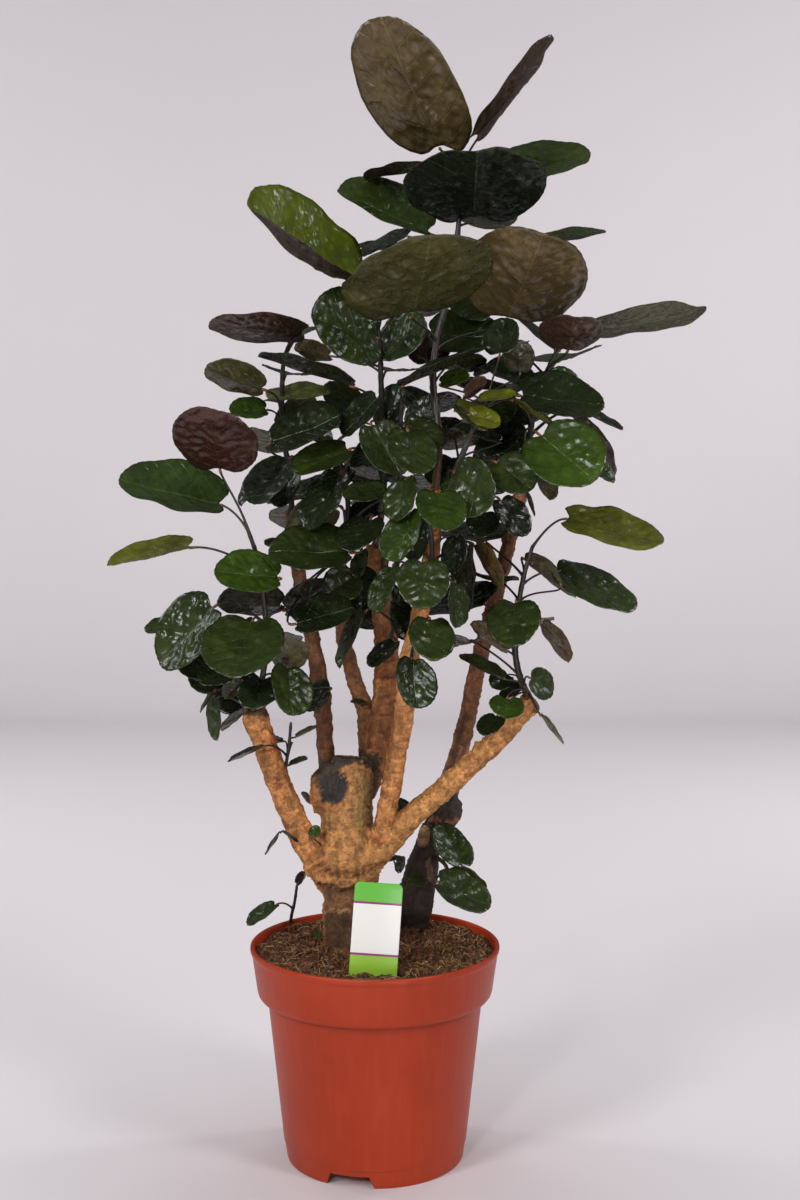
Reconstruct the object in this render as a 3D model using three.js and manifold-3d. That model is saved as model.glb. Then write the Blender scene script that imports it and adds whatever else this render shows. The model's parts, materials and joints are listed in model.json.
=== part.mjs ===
// A potted Fabian aralia: cut woody branches with round blistered leaves, in a plastic nursery pot.
// Millimetres, +Z up, origin on the ground under the middle of the pot, the label at the front (-Y).
import * as THREE from 'three';
import { mergeVertices } from 'three/addons/utils/BufferGeometryUtils.js';
import Module from 'manifold-3d';

const wasm = await Module();
wasm.setup();

// Driving dimensions
const pot = {
  height: 208.4, rimRadius: 120, rimLip: 5, collarHeight: 49.8, collarFoot: 112.5, collarTop: 118.5,
  wallTop: 103, footRadius: 86.4, wall: 2.4, floor: 3, padRadius: 55, channelTop: 12, sides: 24,
};
const slot = { count: 3, first: -15.5, topWidth: 38, footWidth: 46, height: 12, depth: 22, inset: 9 };
const soilTop = { level: 201, bump: 1.6, clear: 0.3, holeClear: 0.7 };
const card = {
  width: 44, height: 88, corner: 5, thick: 0.8, stake: 52, stakeWidth: 12, point: 10, shoulder: 4, waist: -14,
  lean: -4, tilt: 5, px: 372.5, py: 979, depth: -88,
};
const blade = {
  thick: 0.9, widest: 0.49, middle: 0.44, sideAt: 0.45, fold: 0.16, cup: 0.22, wave: 0.025, bigLength: 72,
};
const stalk = {
  radius: 1.1, sunk: 0.01, longReach: 24, swing: 0.3, rise: 0.16, lead: 0.25, marks: 40, firstMark: 3,
};
const gap = { wood: 0.35, test: 0.8, sliver: 0.03 };

// The view that the plant's places are read from: a picture of 800 by 1200 pixels, seen by an eye
// in front of the pot. A pixel and a depth behind the pot's axis together give a place.
const view = { x: 24.1, y: -1598, z: 673, down: 4.76, focal: 1690, midX: 400, midY: 600 };
const down = THREE.MathUtils.degToRad(view.down);
const eye = new THREE.Vector3(view.x, view.y, view.z);
const ahead = new THREE.Vector3(0, Math.cos(down), -Math.sin(down));
const above = new THREE.Vector3(0, Math.sin(down), Math.cos(down));
const aside = new THREE.Vector3(1, 0, 0);

function seen(px, py, depth) {
  const ray = ahead.clone();
  ray.addScaledVector(aside, (px - view.midX) / view.focal);
  ray.addScaledVector(above, (view.midY - py) / view.focal);
  return eye.clone().addScaledVector(ray, (depth - eye.y) / ray.y);
}

// Wood: pixel across, pixel down, depth, radius in millimetres
const firstTrunk = {
  stump: [[350, 1010, 6, 25], [350, 955, 6, 25.5], [350, 920, 6, 25], [350, 911, 6, 26.5],
    [350, 900, 6, 25], [350, 878, 8, 28], [348, 855, 9, 27], [347, 825, 10, 25], [347, 795, 12, 25],
    [351, 772, 14, 22], [353, 757, 16, 17]],
  shoulder: [[322, 812, 8, 8], [321, 796, 4, 11], [324, 780, 4, 11], [334, 768, 8, 9]],
  left: [[345, 895, 6, 17], [322, 866, 2, 15], [302, 835, -4, 12.5], [286, 800, -8, 12],
    [272, 765, -12, 11.5], [262, 735, -16, 11], [257, 722, -18, 12.6], [253, 711, -19, 12]],
  right: [[352, 874, 2, 17], [384, 846, -2, 13], [409, 819, -6, 11.4], [439, 793, -9, 10.6],
    [469, 766, -12, 10.3], [499, 738, -16, 9.8], [519, 716, -19, 9.6], [533, 700, -22, 11.2]],
  spur: [[477, 760, -12, 5], [476, 748, -14, 4], [476, 740, -14, 2.2]],
  front: [[381, 838, -6, 10.5], [389, 800, -14, 9.5], [396, 760, -20, 9.3], [404, 715, -26, 9.3],
    [409, 660, -30, 9], [420, 615, -34, 8.5], [428, 580, -38, 8], [433, 540, -40, 7.5],
    [435, 488, -40, 7]],
  centre: [[364, 795, 20, 11], [377, 755, 30, 12], [384, 710, 34, 12.5], [387, 660, 36, 12],
    [384, 620, 36, 11], [378, 580, 36, 10], [375, 545, 36, 9.5]],
  fork: [[368, 772, 34, 8], [366, 735, 42, 8.5], [366, 712, 46, 8.8], [359, 692, 48, 8],
    [351, 668, 50, 7.5], [344, 640, 52, 7.5], [340, 600, 52, 7], [338, 570, 52, 6.5]],
  back: [[336, 800, 26, 9], [328, 770, 34, 8.7], [325, 740, 38, 8.5], [323, 712, 42, 8.5],
    [320, 685, 44, 9.4], [315, 655, 46, 8], [308, 620, 48, 7.5], [300, 580, 50, 7], [296, 545, 50, 7],
    [292, 509, 50, 7]],
};
const secondTrunk = {
  stump: [[408, 1000, 60, 14], [409, 945, 60, 15], [415, 905, 60, 18], [420, 878, 60, 17],
    [427, 850, 60, 13.5], [438, 826, 60, 14], [446, 812, 60, 16], [447, 799, 60, 12]],
  spur: [[424, 842, 52, 6], [424, 832, 46, 5.5], [424, 828, 42, 5]],
  branch: [[444, 806, 62, 11], [452, 775, 64, 9.5], [462, 740, 62, 9], [470, 705, 60, 8.5],
    [478, 665, 56, 8.5], [487, 630, 52, 8], [497, 590, 48, 7.8], [505, 560, 45, 7.5], [513, 525, 42, 7.2],
    [521, 492, 40, 7.2]],
};

// Leafy stems: the same four numbers, from the wood or soil that each grows from
const stems = {
  crown: [[435, 492, -40, 3.6], [439, 440, -36, 3.4], [433, 380, -26, 3.2], [437, 340, -20, 3],
    [450, 290, -14, 2.8], [459, 220, -8, 2.4], [462, 165, -6, 2]],
  centre: [[375, 549, 36, 3.6], [383, 500, 34, 3.2], [383, 440, 30, 3], [381, 380, 24, 2.6],
    [379, 335, 20, 2.2], [370, 300, 12, 2]],
  leftHigh: [[292, 514, 50, 3], [289, 470, 44, 2.8], [284, 440, 36, 2.6], [282, 400, 26, 2.4],
    [284, 360, 14, 2], [290, 342, 6, 1.6]],
  leftTall: [[253, 714, -19, 3.2], [262, 680, -24, 2.8], [266, 640, -30, 2.6], [264, 600, -36, 2.4],
    [258, 560, -42, 2.2], [248, 530, -48, 1.8]],
  leftShort: [[247, 714, -18, 2.4], [240, 692, -26, 2.2], [230, 674, -36, 1.9], [222, 660, -44, 1.6]],
  leftInner: [[259, 713, -17, 2.4], [272, 693, -40, 2.2], [283, 676, -60, 2], [284, 658, -70, 1.7]],
  middleLeft: [[338, 574, 52, 3], [343, 540, 44, 2.8], [348, 510, 34, 2.5], [345, 480, 24, 2.2],
    [338, 455, 10, 1.8]],
  front: [[424, 603, -32, 2.6], [430, 575, -60, 2.4], [432, 545, -76, 2.2], [428, 520, -86, 2],
    [420, 495, -88, 1.7]],
  middle: [[384, 572, 28, 3], [393, 520, 10, 2.8], [398, 460, -16, 2.5], [400, 430, -36, 2.2],
    [402, 405, -46, 1.8]],
  middleRight: [[440, 522, -44, 3], [456, 470, -50, 2.7], [471, 435, -54, 2.4], [480, 415, -60, 2],
    [488, 396, -62, 1.7]],
  rightHigh: [[521, 496, 40, 3.4], [528, 450, 30, 3], [533, 415, 12, 2.8], [541, 385, 0, 2.4],
    [556, 352, -8, 1.9]],
  rightLow: [[533, 704, -21, 3.4], [521, 680, -30, 3], [515, 650, -34, 2.8], [518, 610, -38, 2.5],
    [524, 575, -40, 2.2], [533, 545, -40, 1.7]],
  frontSprout: [[410, 670, -30, 2.4], [412, 655, -54, 2], [414, 646, -64, 1.7]],
  centreSprout: [[388, 655, 30, 2.6], [391, 640, 10, 2.2], [394, 622, -6, 1.8]],
  trunkSprout: [[432, 856, 56, 2.4], [443, 862, 30, 2], [449, 872, 8, 1.6]],
  branchSprout: [[283, 788, -6, 1.8], [286, 765, -10, 1.6], [289, 745, -14, 1.5], [291, 722, -18, 1.3]],
  lowSprout: [[306, 846, -2, 1.8], [293, 838, -18, 1.5], [283, 831, -20, 1.3]],
  soilSprout: [[300, 945, 66, 1.8], [291, 925, 73, 1.7], [295, 900, 70, 1.5], [297, 885, 68, 1.3]],
};

// Leaves: the pixels of the stalk's joint, the tip and the margin's widest place on one side, with
// the joint's depth and the face that shows. Fold is how far the halves rise from the midrib, slim
// how wide the half away from that side is, and cup how deep the blade is as a bowl.
const leaves = {
  crown: [
    { joint: [440, 149], tip: [383, 24], side: [358, 98], depth: -30, face: 'under', fold: 0.02, slim: 0.75 },
    { joint: [479, 137], tip: [554, 38], side: [521, 96], depth: 0, face: 'under', fold: 0.1, slim: 0.6 },
    { joint: [497, 180], tip: [591, 156], side: [531, 144], depth: 20, face: 'top' },
    { joint: [428, 233], tip: [337, 191], side: [397, 184], depth: 25, face: 'top', slim: 0.4 },
    { joint: [474, 222], tip: [478, 156], side: [545, 188], depth: -10, face: 'under', fold: 0.05 },
    { joint: [408, 250], tip: [356, 248], side: [383, 242], depth: 70, face: 'under' },
    { joint: [412, 316], tip: [430, 246], side: [492, 270], depth: -60, face: 'under', fold: 0.06 },
    { joint: [508, 320], tip: [541, 240], side: [583, 291], depth: -60, face: 'under' },
    { joint: [527, 247], tip: [606, 234], side: [563, 231], depth: 30, face: 'top' },
    { joint: [522, 257], tip: [505, 238], side: [517, 241], depth: 50, face: 'under' },
    { joint: [428, 365], tip: [428, 332], side: [451, 348], depth: 60, face: 'under' },
    { joint: [430, 335], tip: [500, 338], side: [465, 310], depth: 20, face: 'top' },
  ],
  centre: [
    { joint: [356, 284], tip: [249, 213], side: [302, 208], depth: -30, face: 'top',
      fold: 0.24, slim: 0.79, cup: 1.34 },
    { joint: [376, 338], tip: [312, 318], side: [350, 289], depth: -30, face: 'top' },
    { joint: [382, 345], tip: [428, 330], side: [402, 312], depth: 10, face: 'top' },
    { joint: [350, 386], tip: [257, 357], side: [311, 362], depth: -40, face: 'under' },
    { joint: [330, 356], tip: [294, 350], side: [312, 340], depth: 30, face: 'under' },
  ],
  leftHigh: [
    { joint: [303, 334], tip: [209, 326], side: [255, 345], depth: -10, face: 'under', fold: 0.1, slim: 0.7 },
    { joint: [268, 400], tip: [331, 394], side: [297, 384], depth: 20, face: 'top' },
    { joint: [266, 410], tip: [229, 411], side: [247, 397], depth: 0, face: 'top' },
    { joint: [262, 389], tip: [204, 370], side: [231, 393], depth: -20, face: 'under', fold: 0.1 },
    { joint: [272, 443], tip: [342, 417], side: [300, 448], depth: -30, face: 'top' },
    { joint: [278, 426], tip: [319, 403], side: [297, 427], depth: 10, face: 'under' },
    { joint: [289, 459], tip: [256, 505], side: [248, 476], depth: 10, face: 'top' },
    { joint: [292, 470], tip: [282, 508], side: [270, 488], depth: 24, face: 'top' },
    { joint: [300, 425], tip: [334, 442], side: [312, 412], depth: 30, face: 'top' },
  ],
  leftTall: [
    { joint: [220, 470], tip: [208, 411], side: [257, 446], depth: -60, face: 'under', fold: 0.02 },
    { joint: [221, 505], tip: [119, 482], side: [183, 462], depth: -40, face: 'top', fold: 0.2 },
    { joint: [190, 548], tip: [108, 567], side: [150, 540], depth: -50, face: 'top', fold: 0.2 },
    { joint: [278, 578], tip: [214, 572], side: [248, 593], depth: -80, face: 'top' },
    { joint: [281, 606], tip: [217, 603], side: [248, 617], depth: -10, face: 'under' },
    { joint: [214, 607], tip: [160, 664], side: [170, 606], depth: -60, face: 'top' },
    { joint: [175, 622], tip: [146, 633], side: [155, 619], depth: -30, face: 'top' },
    { joint: [252, 622], tip: [233, 677], side: [283, 645], depth: -100, face: 'top' },
    { joint: [243, 622], tip: [213, 658], side: [208, 638], depth: -40, face: 'top' },
  ],
  leftShort: [
    { joint: [230, 668], tip: [200, 683], side: [205, 662], depth: -50, face: 'top' },
    { joint: [214, 691], tip: [201, 713], side: [205, 700], depth: -40, face: 'top' },
    { joint: [218, 698], tip: [217, 741], side: [207, 714], depth: -30, face: 'top' },
    { joint: [247, 710], tip: [222, 732], side: [230, 716], depth: -4, face: 'under' },
  ],
  leftInner: [
    { joint: [262, 680], tip: [256, 710], side: [237, 692], depth: -100, face: 'top' },
    { joint: [287, 668], tip: [292, 716], side: [313, 692], depth: -100, face: 'top' },
    { joint: [283, 668], tip: [298, 640], side: [308, 660], depth: -60, face: 'under' },
    { joint: [330, 690], tip: [305, 706], side: [318, 710], depth: -20, face: 'top' },
  ],
  middleLeft: [
    { joint: [350, 553], tip: [268, 552], side: [310, 571], depth: -70, face: 'top' },
    { joint: [348, 450], tip: [294, 474], side: [310, 446], depth: -50, face: 'top' },
    { joint: [340, 474], tip: [311, 530], side: [304, 496], depth: -30, face: 'top' },
    { joint: [287, 610], tip: [335, 588], side: [303, 582], depth: -20, face: 'under' },
    { joint: [296, 624], tip: [354, 608], side: [325, 631], depth: -60, face: 'top' },
    { joint: [335, 508], tip: [288, 540], side: [322, 538], depth: -20, face: 'under' },
    { joint: [385, 492], tip: [343, 497], side: [362, 481], depth: -70, face: 'top' },
    { joint: [370, 520], tip: [350, 552], side: [338, 530], depth: -40, face: 'top' },
    { joint: [362, 552], tip: [360, 578], side: [350, 568], depth: -30, face: 'top' },
  ],
  front: [
    { joint: [424, 562], tip: [422, 609], side: [450, 582], depth: -130, face: 'top' },
    { joint: [393, 566], tip: [380, 612], side: [369, 592], depth: -90, face: 'top' },
    { joint: [455, 583], tip: [455, 628], side: [469, 606], depth: -90, face: 'top' },
    { joint: [408, 515], tip: [398, 562], side: [380, 540], depth: -100, face: 'top' },
    { joint: [405, 480], tip: [400, 521], side: [383, 502], depth: -90, face: 'top' },
    { joint: [437, 493], tip: [445, 531], side: [467, 508], depth: -140, face: 'top' },
    { joint: [458, 536], tip: [455, 574], side: [441, 555], depth: -70, face: 'top' },
    { joint: [470, 545], tip: [467, 613], side: [476, 580], depth: -40, face: 'top' },
    { joint: [474, 545], tip: [501, 590], side: [484, 570], depth: -20, face: 'under' },
  ],
  frontSprout: [
    { joint: [430, 620], tip: [432, 661], side: [408, 634], depth: -100, face: 'top' },
    { joint: [412, 660], tip: [416, 709], side: [437, 684], depth: -86, face: 'top' },
  ],
  centreSprout: [
    { joint: [365, 612], tip: [340, 668], side: [343, 632], depth: -30, face: 'top' },
    { joint: [395, 642], tip: [372, 668], side: [372, 650], depth: -10, face: 'top' },
    { joint: [398, 602], tip: [402, 640], side: [415, 620], depth: -16, face: 'top' },
    { joint: [362, 697], tip: [345, 704], side: [353, 694], depth: 14, face: 'top' },
  ],
  middle: [
    { joint: [408, 432], tip: [415, 475], side: [438, 452], depth: -110, face: 'top' },
    { joint: [372, 426], tip: [400, 474], side: [364, 455], depth: -80, face: 'top' },
    { joint: [403, 386], tip: [488, 349], side: [440, 360], depth: -60, face: 'top' },
    { joint: [405, 425], tip: [445, 445], side: [430, 420], depth: -60, face: 'top' },
  ],
  middleRight: [
    { joint: [455, 473], tip: [490, 508], side: [487, 464], depth: -110, face: 'top' },
    { joint: [497, 463], tip: [532, 490], side: [530, 458], depth: -100, face: 'top' },
    { joint: [470, 415], tip: [501, 423], side: [485, 406], depth: -90, face: 'top' },
    { joint: [455, 406], tip: [488, 430], side: [468, 424], depth: -70, face: 'top' },
    { joint: [480, 400], tip: [517, 395], side: [497, 389], depth: -80, face: 'top' },
    { joint: [513, 401], tip: [557, 431], side: [532, 410], depth: -70, face: 'top' },
    { joint: [441, 384], tip: [470, 375], side: [452, 370], depth: -60, face: 'top' },
    { joint: [465, 395], tip: [488, 382], side: [475, 378], depth: -70, face: 'under' },
    { joint: [500, 500], tip: [524, 537], side: [498, 520], depth: -60, face: 'top' },
    { joint: [485, 512], tip: [478, 537], side: [499, 526], depth: -50, face: 'top' },
    { joint: [520, 372], tip: [516, 340], side: [535, 355], depth: -30, face: 'under' },
  ],
  rightHigh: [
    { joint: [541, 436], tip: [594, 481], side: [594, 430], depth: -100, face: 'top' },
    { joint: [521, 396], tip: [604, 407], side: [560, 418], depth: -80, face: 'top' },
    { joint: [585, 412], tip: [622, 431], side: [608, 417], depth: -20, face: 'top' },
    { joint: [572, 416], tip: [612, 478], side: [603, 438], depth: 50, face: 'under' },
    { joint: [548, 385], tip: [582, 390], side: [562, 366], depth: -60, face: 'top' },
    { joint: [568, 350], tip: [575, 318], side: [603, 333], depth: -60, face: 'under' },
    { joint: [598, 331], tip: [706, 314], side: [646, 336], depth: -20, face: 'under',
      fold: 0.05, slim: 0.9 },
    { joint: [557, 311], tip: [569, 301], side: [564, 310], depth: -20, face: 'top' },
    { joint: [540, 470], tip: [550, 501], side: [557, 484], depth: 20, face: 'under' },
    { joint: [526, 492], tip: [534, 517], side: [531, 503], depth: -30, face: 'top' },
  ],
  rightLow: [
    { joint: [567, 519], tip: [663, 543], side: [615, 511], depth: -50, face: 'top', fold: 0.03 },
    { joint: [557, 572], tip: [636, 608], side: [600, 571], depth: -50, face: 'top', fold: 0.03 },
    { joint: [560, 583], tip: [545, 560], side: [555, 570], depth: -60, face: 'under' },
    { joint: [516, 603], tip: [512, 647], side: [541, 620], depth: -90, face: 'top' },
    { joint: [524, 559], tip: [575, 599], side: [543, 578], depth: -10, face: 'under' },
    { joint: [508, 651], tip: [470, 624], side: [486, 643], depth: -20, face: 'under' },
    { joint: [541, 625], tip: [569, 663], side: [550, 646], depth: -10, face: 'under' },
    { joint: [502, 678], tip: [458, 657], side: [485, 659], depth: -60, face: 'top' },
    { joint: [508, 675], tip: [492, 688], side: [492, 672], depth: -30, face: 'top' },
    { joint: [530, 678], tip: [553, 692], side: [546, 669], depth: -60, face: 'top' },
    { joint: [507, 699], tip: [506, 719], side: [489, 703], depth: -80, face: 'top' },
    { joint: [497, 716], tip: [484, 736], side: [478, 721], depth: -50, face: 'top' },
    { joint: [541, 716], tip: [563, 745], side: [554, 730], depth: -30, face: 'top' },
  ],
  trunkSprout: [
    { joint: [462, 866], tip: [441, 823], side: [433, 846], depth: 20, face: 'top', slim: 0.75 },
    { joint: [438, 882], tip: [490, 908], side: [457, 908], depth: -20, face: 'top' },
    { joint: [460, 868], tip: [486, 893], side: [478, 876], depth: 10, face: 'under' },
  ],
  branchSprout: [
    { joint: [296, 737], tip: [318, 727], side: [306, 728], depth: -14, face: 'top' },
    { joint: [283, 741], tip: [262, 742], side: [272, 736], depth: 6, face: 'under' },
    { joint: [262, 747], tip: [228, 763], side: [243, 751], depth: 16, face: 'top' },
  ],
  lowSprout: [
    { joint: [280, 833], tip: [266, 855], side: [271, 843], depth: -22, face: 'top' },
  ],
  soilSprout: [
    { joint: [276, 905], tip: [248, 926], side: [256, 908], depth: 50, face: 'top' },
    { joint: [297, 884], tip: [306, 872], side: [303, 882], depth: 64, face: 'under' },
  ],
};

// Inner leaves, mostly hidden by those above, with the same words and plainer outlines
const inner = {
  crown: [
    { joint: [412, 428], tip: [437, 397], side: [411, 404], depth: -20, face: 'top' },
  ],
  centre: [
    { joint: [378, 398], tip: [343, 436], side: [350, 404], depth: 0, face: 'top' },
    { joint: [392, 440], tip: [350, 466], side: [366, 438], depth: 10, face: 'top' },
    { joint: [386, 428], tip: [401, 384], side: [405, 412], depth: 10, face: 'top' },
    { joint: [388, 504], tip: [347, 520], side: [364, 498], depth: 20, face: 'top' },
  ],
  leftHigh: [
    { joint: [263, 468], tip: [242, 507], side: [244, 484], depth: 0, face: 'top' },
  ],
  leftShort: [
    { joint: [242, 680], tip: [224, 698], side: [239, 694], depth: -40, face: 'under' },
  ],
  middleLeft: [
    { joint: [352, 470], tip: [322, 500], side: [328, 474], depth: 10, face: 'top' },
  ],
  front: [
    { joint: [424, 518], tip: [412, 562], side: [430, 541], depth: -40, face: 'top' },
  ],
  middleRight: [
    { joint: [532, 382], tip: [488, 369], side: [516, 363], depth: -10, face: 'top' },
    { joint: [500, 442], tip: [456, 428], side: [483, 426], depth: -40, face: 'top' },
    { joint: [500, 354], tip: [505, 318], side: [520, 335], depth: -50, face: 'top' },
  ],
  rightHigh: [
    { joint: [557, 352], tip: [514, 318], side: [541, 331], depth: -40, face: 'top' },
    { joint: [592, 466], tip: [615, 481], side: [602, 479], depth: 20, face: 'top' },
  ],
  rightLow: [
    { joint: [522, 686], tip: [499, 701], side: [507, 686], depth: -10, face: 'top' },
  ],
};

// Leaves behind, which the view hides: how many each stem has, and the way they face on average
const hidden = {
  crown: { count: 8, turn: 95, spread: 55 }, centre: { count: 7, turn: 85, spread: 50 },
  leftHigh: { count: 6, turn: 90, spread: 60 }, leftTall: { count: 5, turn: 60, spread: 30 },
  middleLeft: { count: 7, turn: 105, spread: 70 }, middle: { count: 3, turn: 90, spread: 60 },
  middleRight: { count: 3, turn: 80, spread: 60 }, rightHigh: { count: 7, turn: 110, spread: 50 },
  rightLow: { count: 6, turn: 120, spread: 40 }, leftShort: { count: 2, turn: 100, spread: 40 },
  front: { count: 2, turn: 90, spread: 60 },
};
const hiddenSize = {
  stalk: 34, stalkMore: 40, length: 46, lengthMore: 38, lift: 12, liftMore: 34, roll: 50,
  out: 0.85, over: 0.45, lowest: 0.16,
};
const shifts = [0, -6, 6, -12, 12, -18, 18, -26, 26, -34, 34, -44, 44, -56, 56];
const turns = [0, 12, -12, 24, -24, 38, -38, 54, -54];

// Closed meshes to solids and back
function toSolid(geometry) {
  const plain = geometry.index === null ? geometry : geometry.toNonIndexed();
  plain.deleteAttribute('normal');
  plain.deleteAttribute('uv');
  const merged = mergeVertices(plain, 1e-4);
  const mesh = new wasm.Mesh({
    numProp: 3,
    vertProperties: new Float32Array(merged.attributes.position.array),
    triVerts: new Uint32Array(merged.index.array),
  });
  return new wasm.Manifold(mesh);
}

function toGeometry(solid) {
  const mesh = solid.getMesh();
  const geometry = new THREE.BufferGeometry();
  geometry.setAttribute('position', new THREE.BufferAttribute(new Float32Array(mesh.vertProperties), 3));
  geometry.setIndex(new THREE.BufferAttribute(new Uint32Array(mesh.triVerts), 1));
  geometry.computeVertexNormals();
  return geometry;
}

function join(solids) {
  return solids.reduce((whole, one) => whole.add(one));
}

function largest(solid) {
  return solid.decompose().reduce((best, one) => (one.volume() > best.volume() ? one : best));
}

// A round bar along places with radii: a thin extrusion swelled about its path
function bar(places, radii, sides, steps) {
  const thin = 0.5;
  const shape = new THREE.Shape();
  for (let i = 0; i < sides; i += 1) {
    const angle = (i / sides) * Math.PI * 2;
    const x = thin * Math.cos(angle);
    const y = thin * Math.sin(angle);
    if (i === 0) shape.moveTo(x, y);
    else shape.lineTo(x, y);
  }
  const path = new THREE.CatmullRomCurve3(places, false, 'centripetal');
  const geometry = new THREE.ExtrudeGeometry(shape, { extrudePath: path, steps, bevelEnabled: false });
  const stations = path.getSpacedPoints(steps);
  const marks = places.map((place, i) => i / (places.length - 1));
  const position = geometry.attributes.position;
  const point = new THREE.Vector3();
  for (let i = 0; i < position.count; i += 1) {
    point.fromBufferAttribute(position, i);
    let near = 0;
    stations.forEach((station, s) => {
      if (station.distanceTo(point) < stations[near].distanceTo(point)) near = s;
    });
    const t = path.getUtoTmapping(near / steps);
    const along = Math.min(Math.floor(t * (places.length - 1)), places.length - 2);
    const part = (t - marks[along]) * (places.length - 1);
    const radius = radii[along] + (radii[along + 1] - radii[along]) * part;
    point.sub(stations[near]).multiplyScalar(radius / thin).add(stations[near]);
    position.setXYZ(i, point.x, point.y, point.z);
  }
  return toSolid(geometry);
}

function rowBar(rows, sides, steps, extra = 0) {
  const places = rows.map(([px, py, depth]) => seen(px, py, depth));
  const last = places.length - 1;
  places[0].addScaledVector(places[0].clone().sub(places[1]).normalize(), extra);
  places[last].addScaledVector(places[last].clone().sub(places[last - 1]).normalize(), extra);
  return bar(places, rows.map((row) => row[3] + extra), sides, steps);
}

// Leaf frames: where a blade starts, the way it runs, its width's way and its upper face's way
function frameFromView(leaf, shift) {
  const start = seen(leaf.joint[0], leaf.joint[1], leaf.depth + shift);
  const sight = start.clone().sub(eye).normalize();
  const e1 = sight.clone().cross(new THREE.Vector3(0, 0, 1)).normalize();
  const e2 = e1.clone().cross(sight);
  const flat = (pixel) => {
    const to = seen(pixel[0], pixel[1], leaf.depth + shift).sub(start);
    return [to.dot(e1), to.dot(e2)];
  };
  const [p1, p2] = flat(leaf.tip);
  const [s1, s2] = flat(leaf.side);
  const fold = leaf.fold ?? blade.fold;
  const k = blade.widest;
  let rise = [0, 0];
  let best;
  for (let round = 0; round < 4; round += 1) {
    const q1 = s1 - blade.sideAt * p1 - rise[0];
    const q2 = s2 - blade.sideAt * p2 - rise[1];
    const pq = p1 * q1 + p2 * q2;
    const pp = p1 * p1 + p2 * p2;
    const qq = q1 * q1 + q2 * q2;
    const c = qq - k * k * pp;
    const a = Math.sqrt(Math.max((c + Math.sqrt(c * c + 4 * k * k * pq * pq)) / (2 * k * k), 0));
    const b = Math.sqrt(Math.max(k * k * (pp + a * a) - qq, 0)) * (pq > 0 ? -1 : 1);
    for (const side of [1, -1]) {
      const run = e1.clone().multiplyScalar(p1).addScaledVector(e2, p2).addScaledVector(sight, side * a);
      const wide = e1.clone().multiplyScalar(q1).addScaledVector(e2, q2).addScaledVector(sight, side * b);
      const up = run.clone().cross(wide).normalize();
      if (up.z < 0) up.negate();
      const shows = up.dot(sight) < 0 ? 'top' : 'under';
      if (side === 1 || shows === leaf.face) best = { run, up };
      if (shows === leaf.face) break;
    }
    const half = k * best.run.length();
    rise = [fold * half * best.up.dot(e1), fold * half * best.up.dot(e2)];
  }
  const length = best.run.length();
  const run = best.run.normalize();
  const wide = run.clone().cross(best.up);
  const slim = leaf.slim ?? 1;
  const right = e1.dot(wide) * s1 + e2.dot(wide) * s2 > 0;
  const cup = leaf.cup ?? blade.cup;
  return { start, run, up: best.up, wide, length, fold, cup, slim: right ? [slim, 1] : [1, slim] };
}

function fraction(value) {
  return value - Math.floor(value);
}

function frameFromRule(stem, rule, index, turn) {
  const spin = (rule.turn + rule.spread * (2 * fraction((index + 1) * 0.618034) - 1) + turn) * Math.PI / 180;
  const reach = hiddenSize.stalk + hiddenSize.stalkMore * fraction((index + 1) * 0.754878);
  const length = hiddenSize.length + hiddenSize.lengthMore * fraction((index + 1) * 0.569840);
  const lift = (hiddenSize.lift - hiddenSize.liftMore * fraction((index + 1) * 0.819173)) * Math.PI / 180;
  const roll = hiddenSize.roll * (fraction((index + 1) * 0.671044) - 0.5) * Math.PI / 180;
  const out = new THREE.Vector3(Math.cos(spin), Math.sin(spin), 0);
  const { lowest } = hiddenSize;
  const root = stem.getPoint(lowest + (1 - lowest) * (index + 0.5) / rule.count);
  const start = root.clone().addScaledVector(out, reach * hiddenSize.out);
  start.z += reach * hiddenSize.over;
  const run = out.clone().multiplyScalar(Math.cos(lift));
  run.z = Math.sin(lift);
  const up = new THREE.Vector3(0, 0, 1).addScaledVector(run, -run.z).normalize().applyAxisAngle(run, roll);
  const { fold, cup } = blade;
  return { start, run, up, wide: run.clone().cross(up), length, fold, cup, slim: [1, 1], root, plain: true };
}

// The stalk's way from the stem, up and over and into the blade's notch, or straight for a plain leaf
function stalkCurve(frame, root) {
  const end = frame.start.clone().addScaledVector(frame.run, stalk.sunk * frame.length);
  if (frame.plain) {
    return new THREE.CubicBezierCurve3(root, root.clone().lerp(end, 1 / 3), root.clone().lerp(end, 2 / 3), end);
  }
  const reach = root.distanceTo(end);
  const first = root.clone().lerp(end, stalk.swing);
  first.z += stalk.rise * reach;
  const last = end.clone().addScaledVector(frame.run, -stalk.lead * reach);
  return new THREE.CubicBezierCurve3(root, first, last, end);
}

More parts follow.
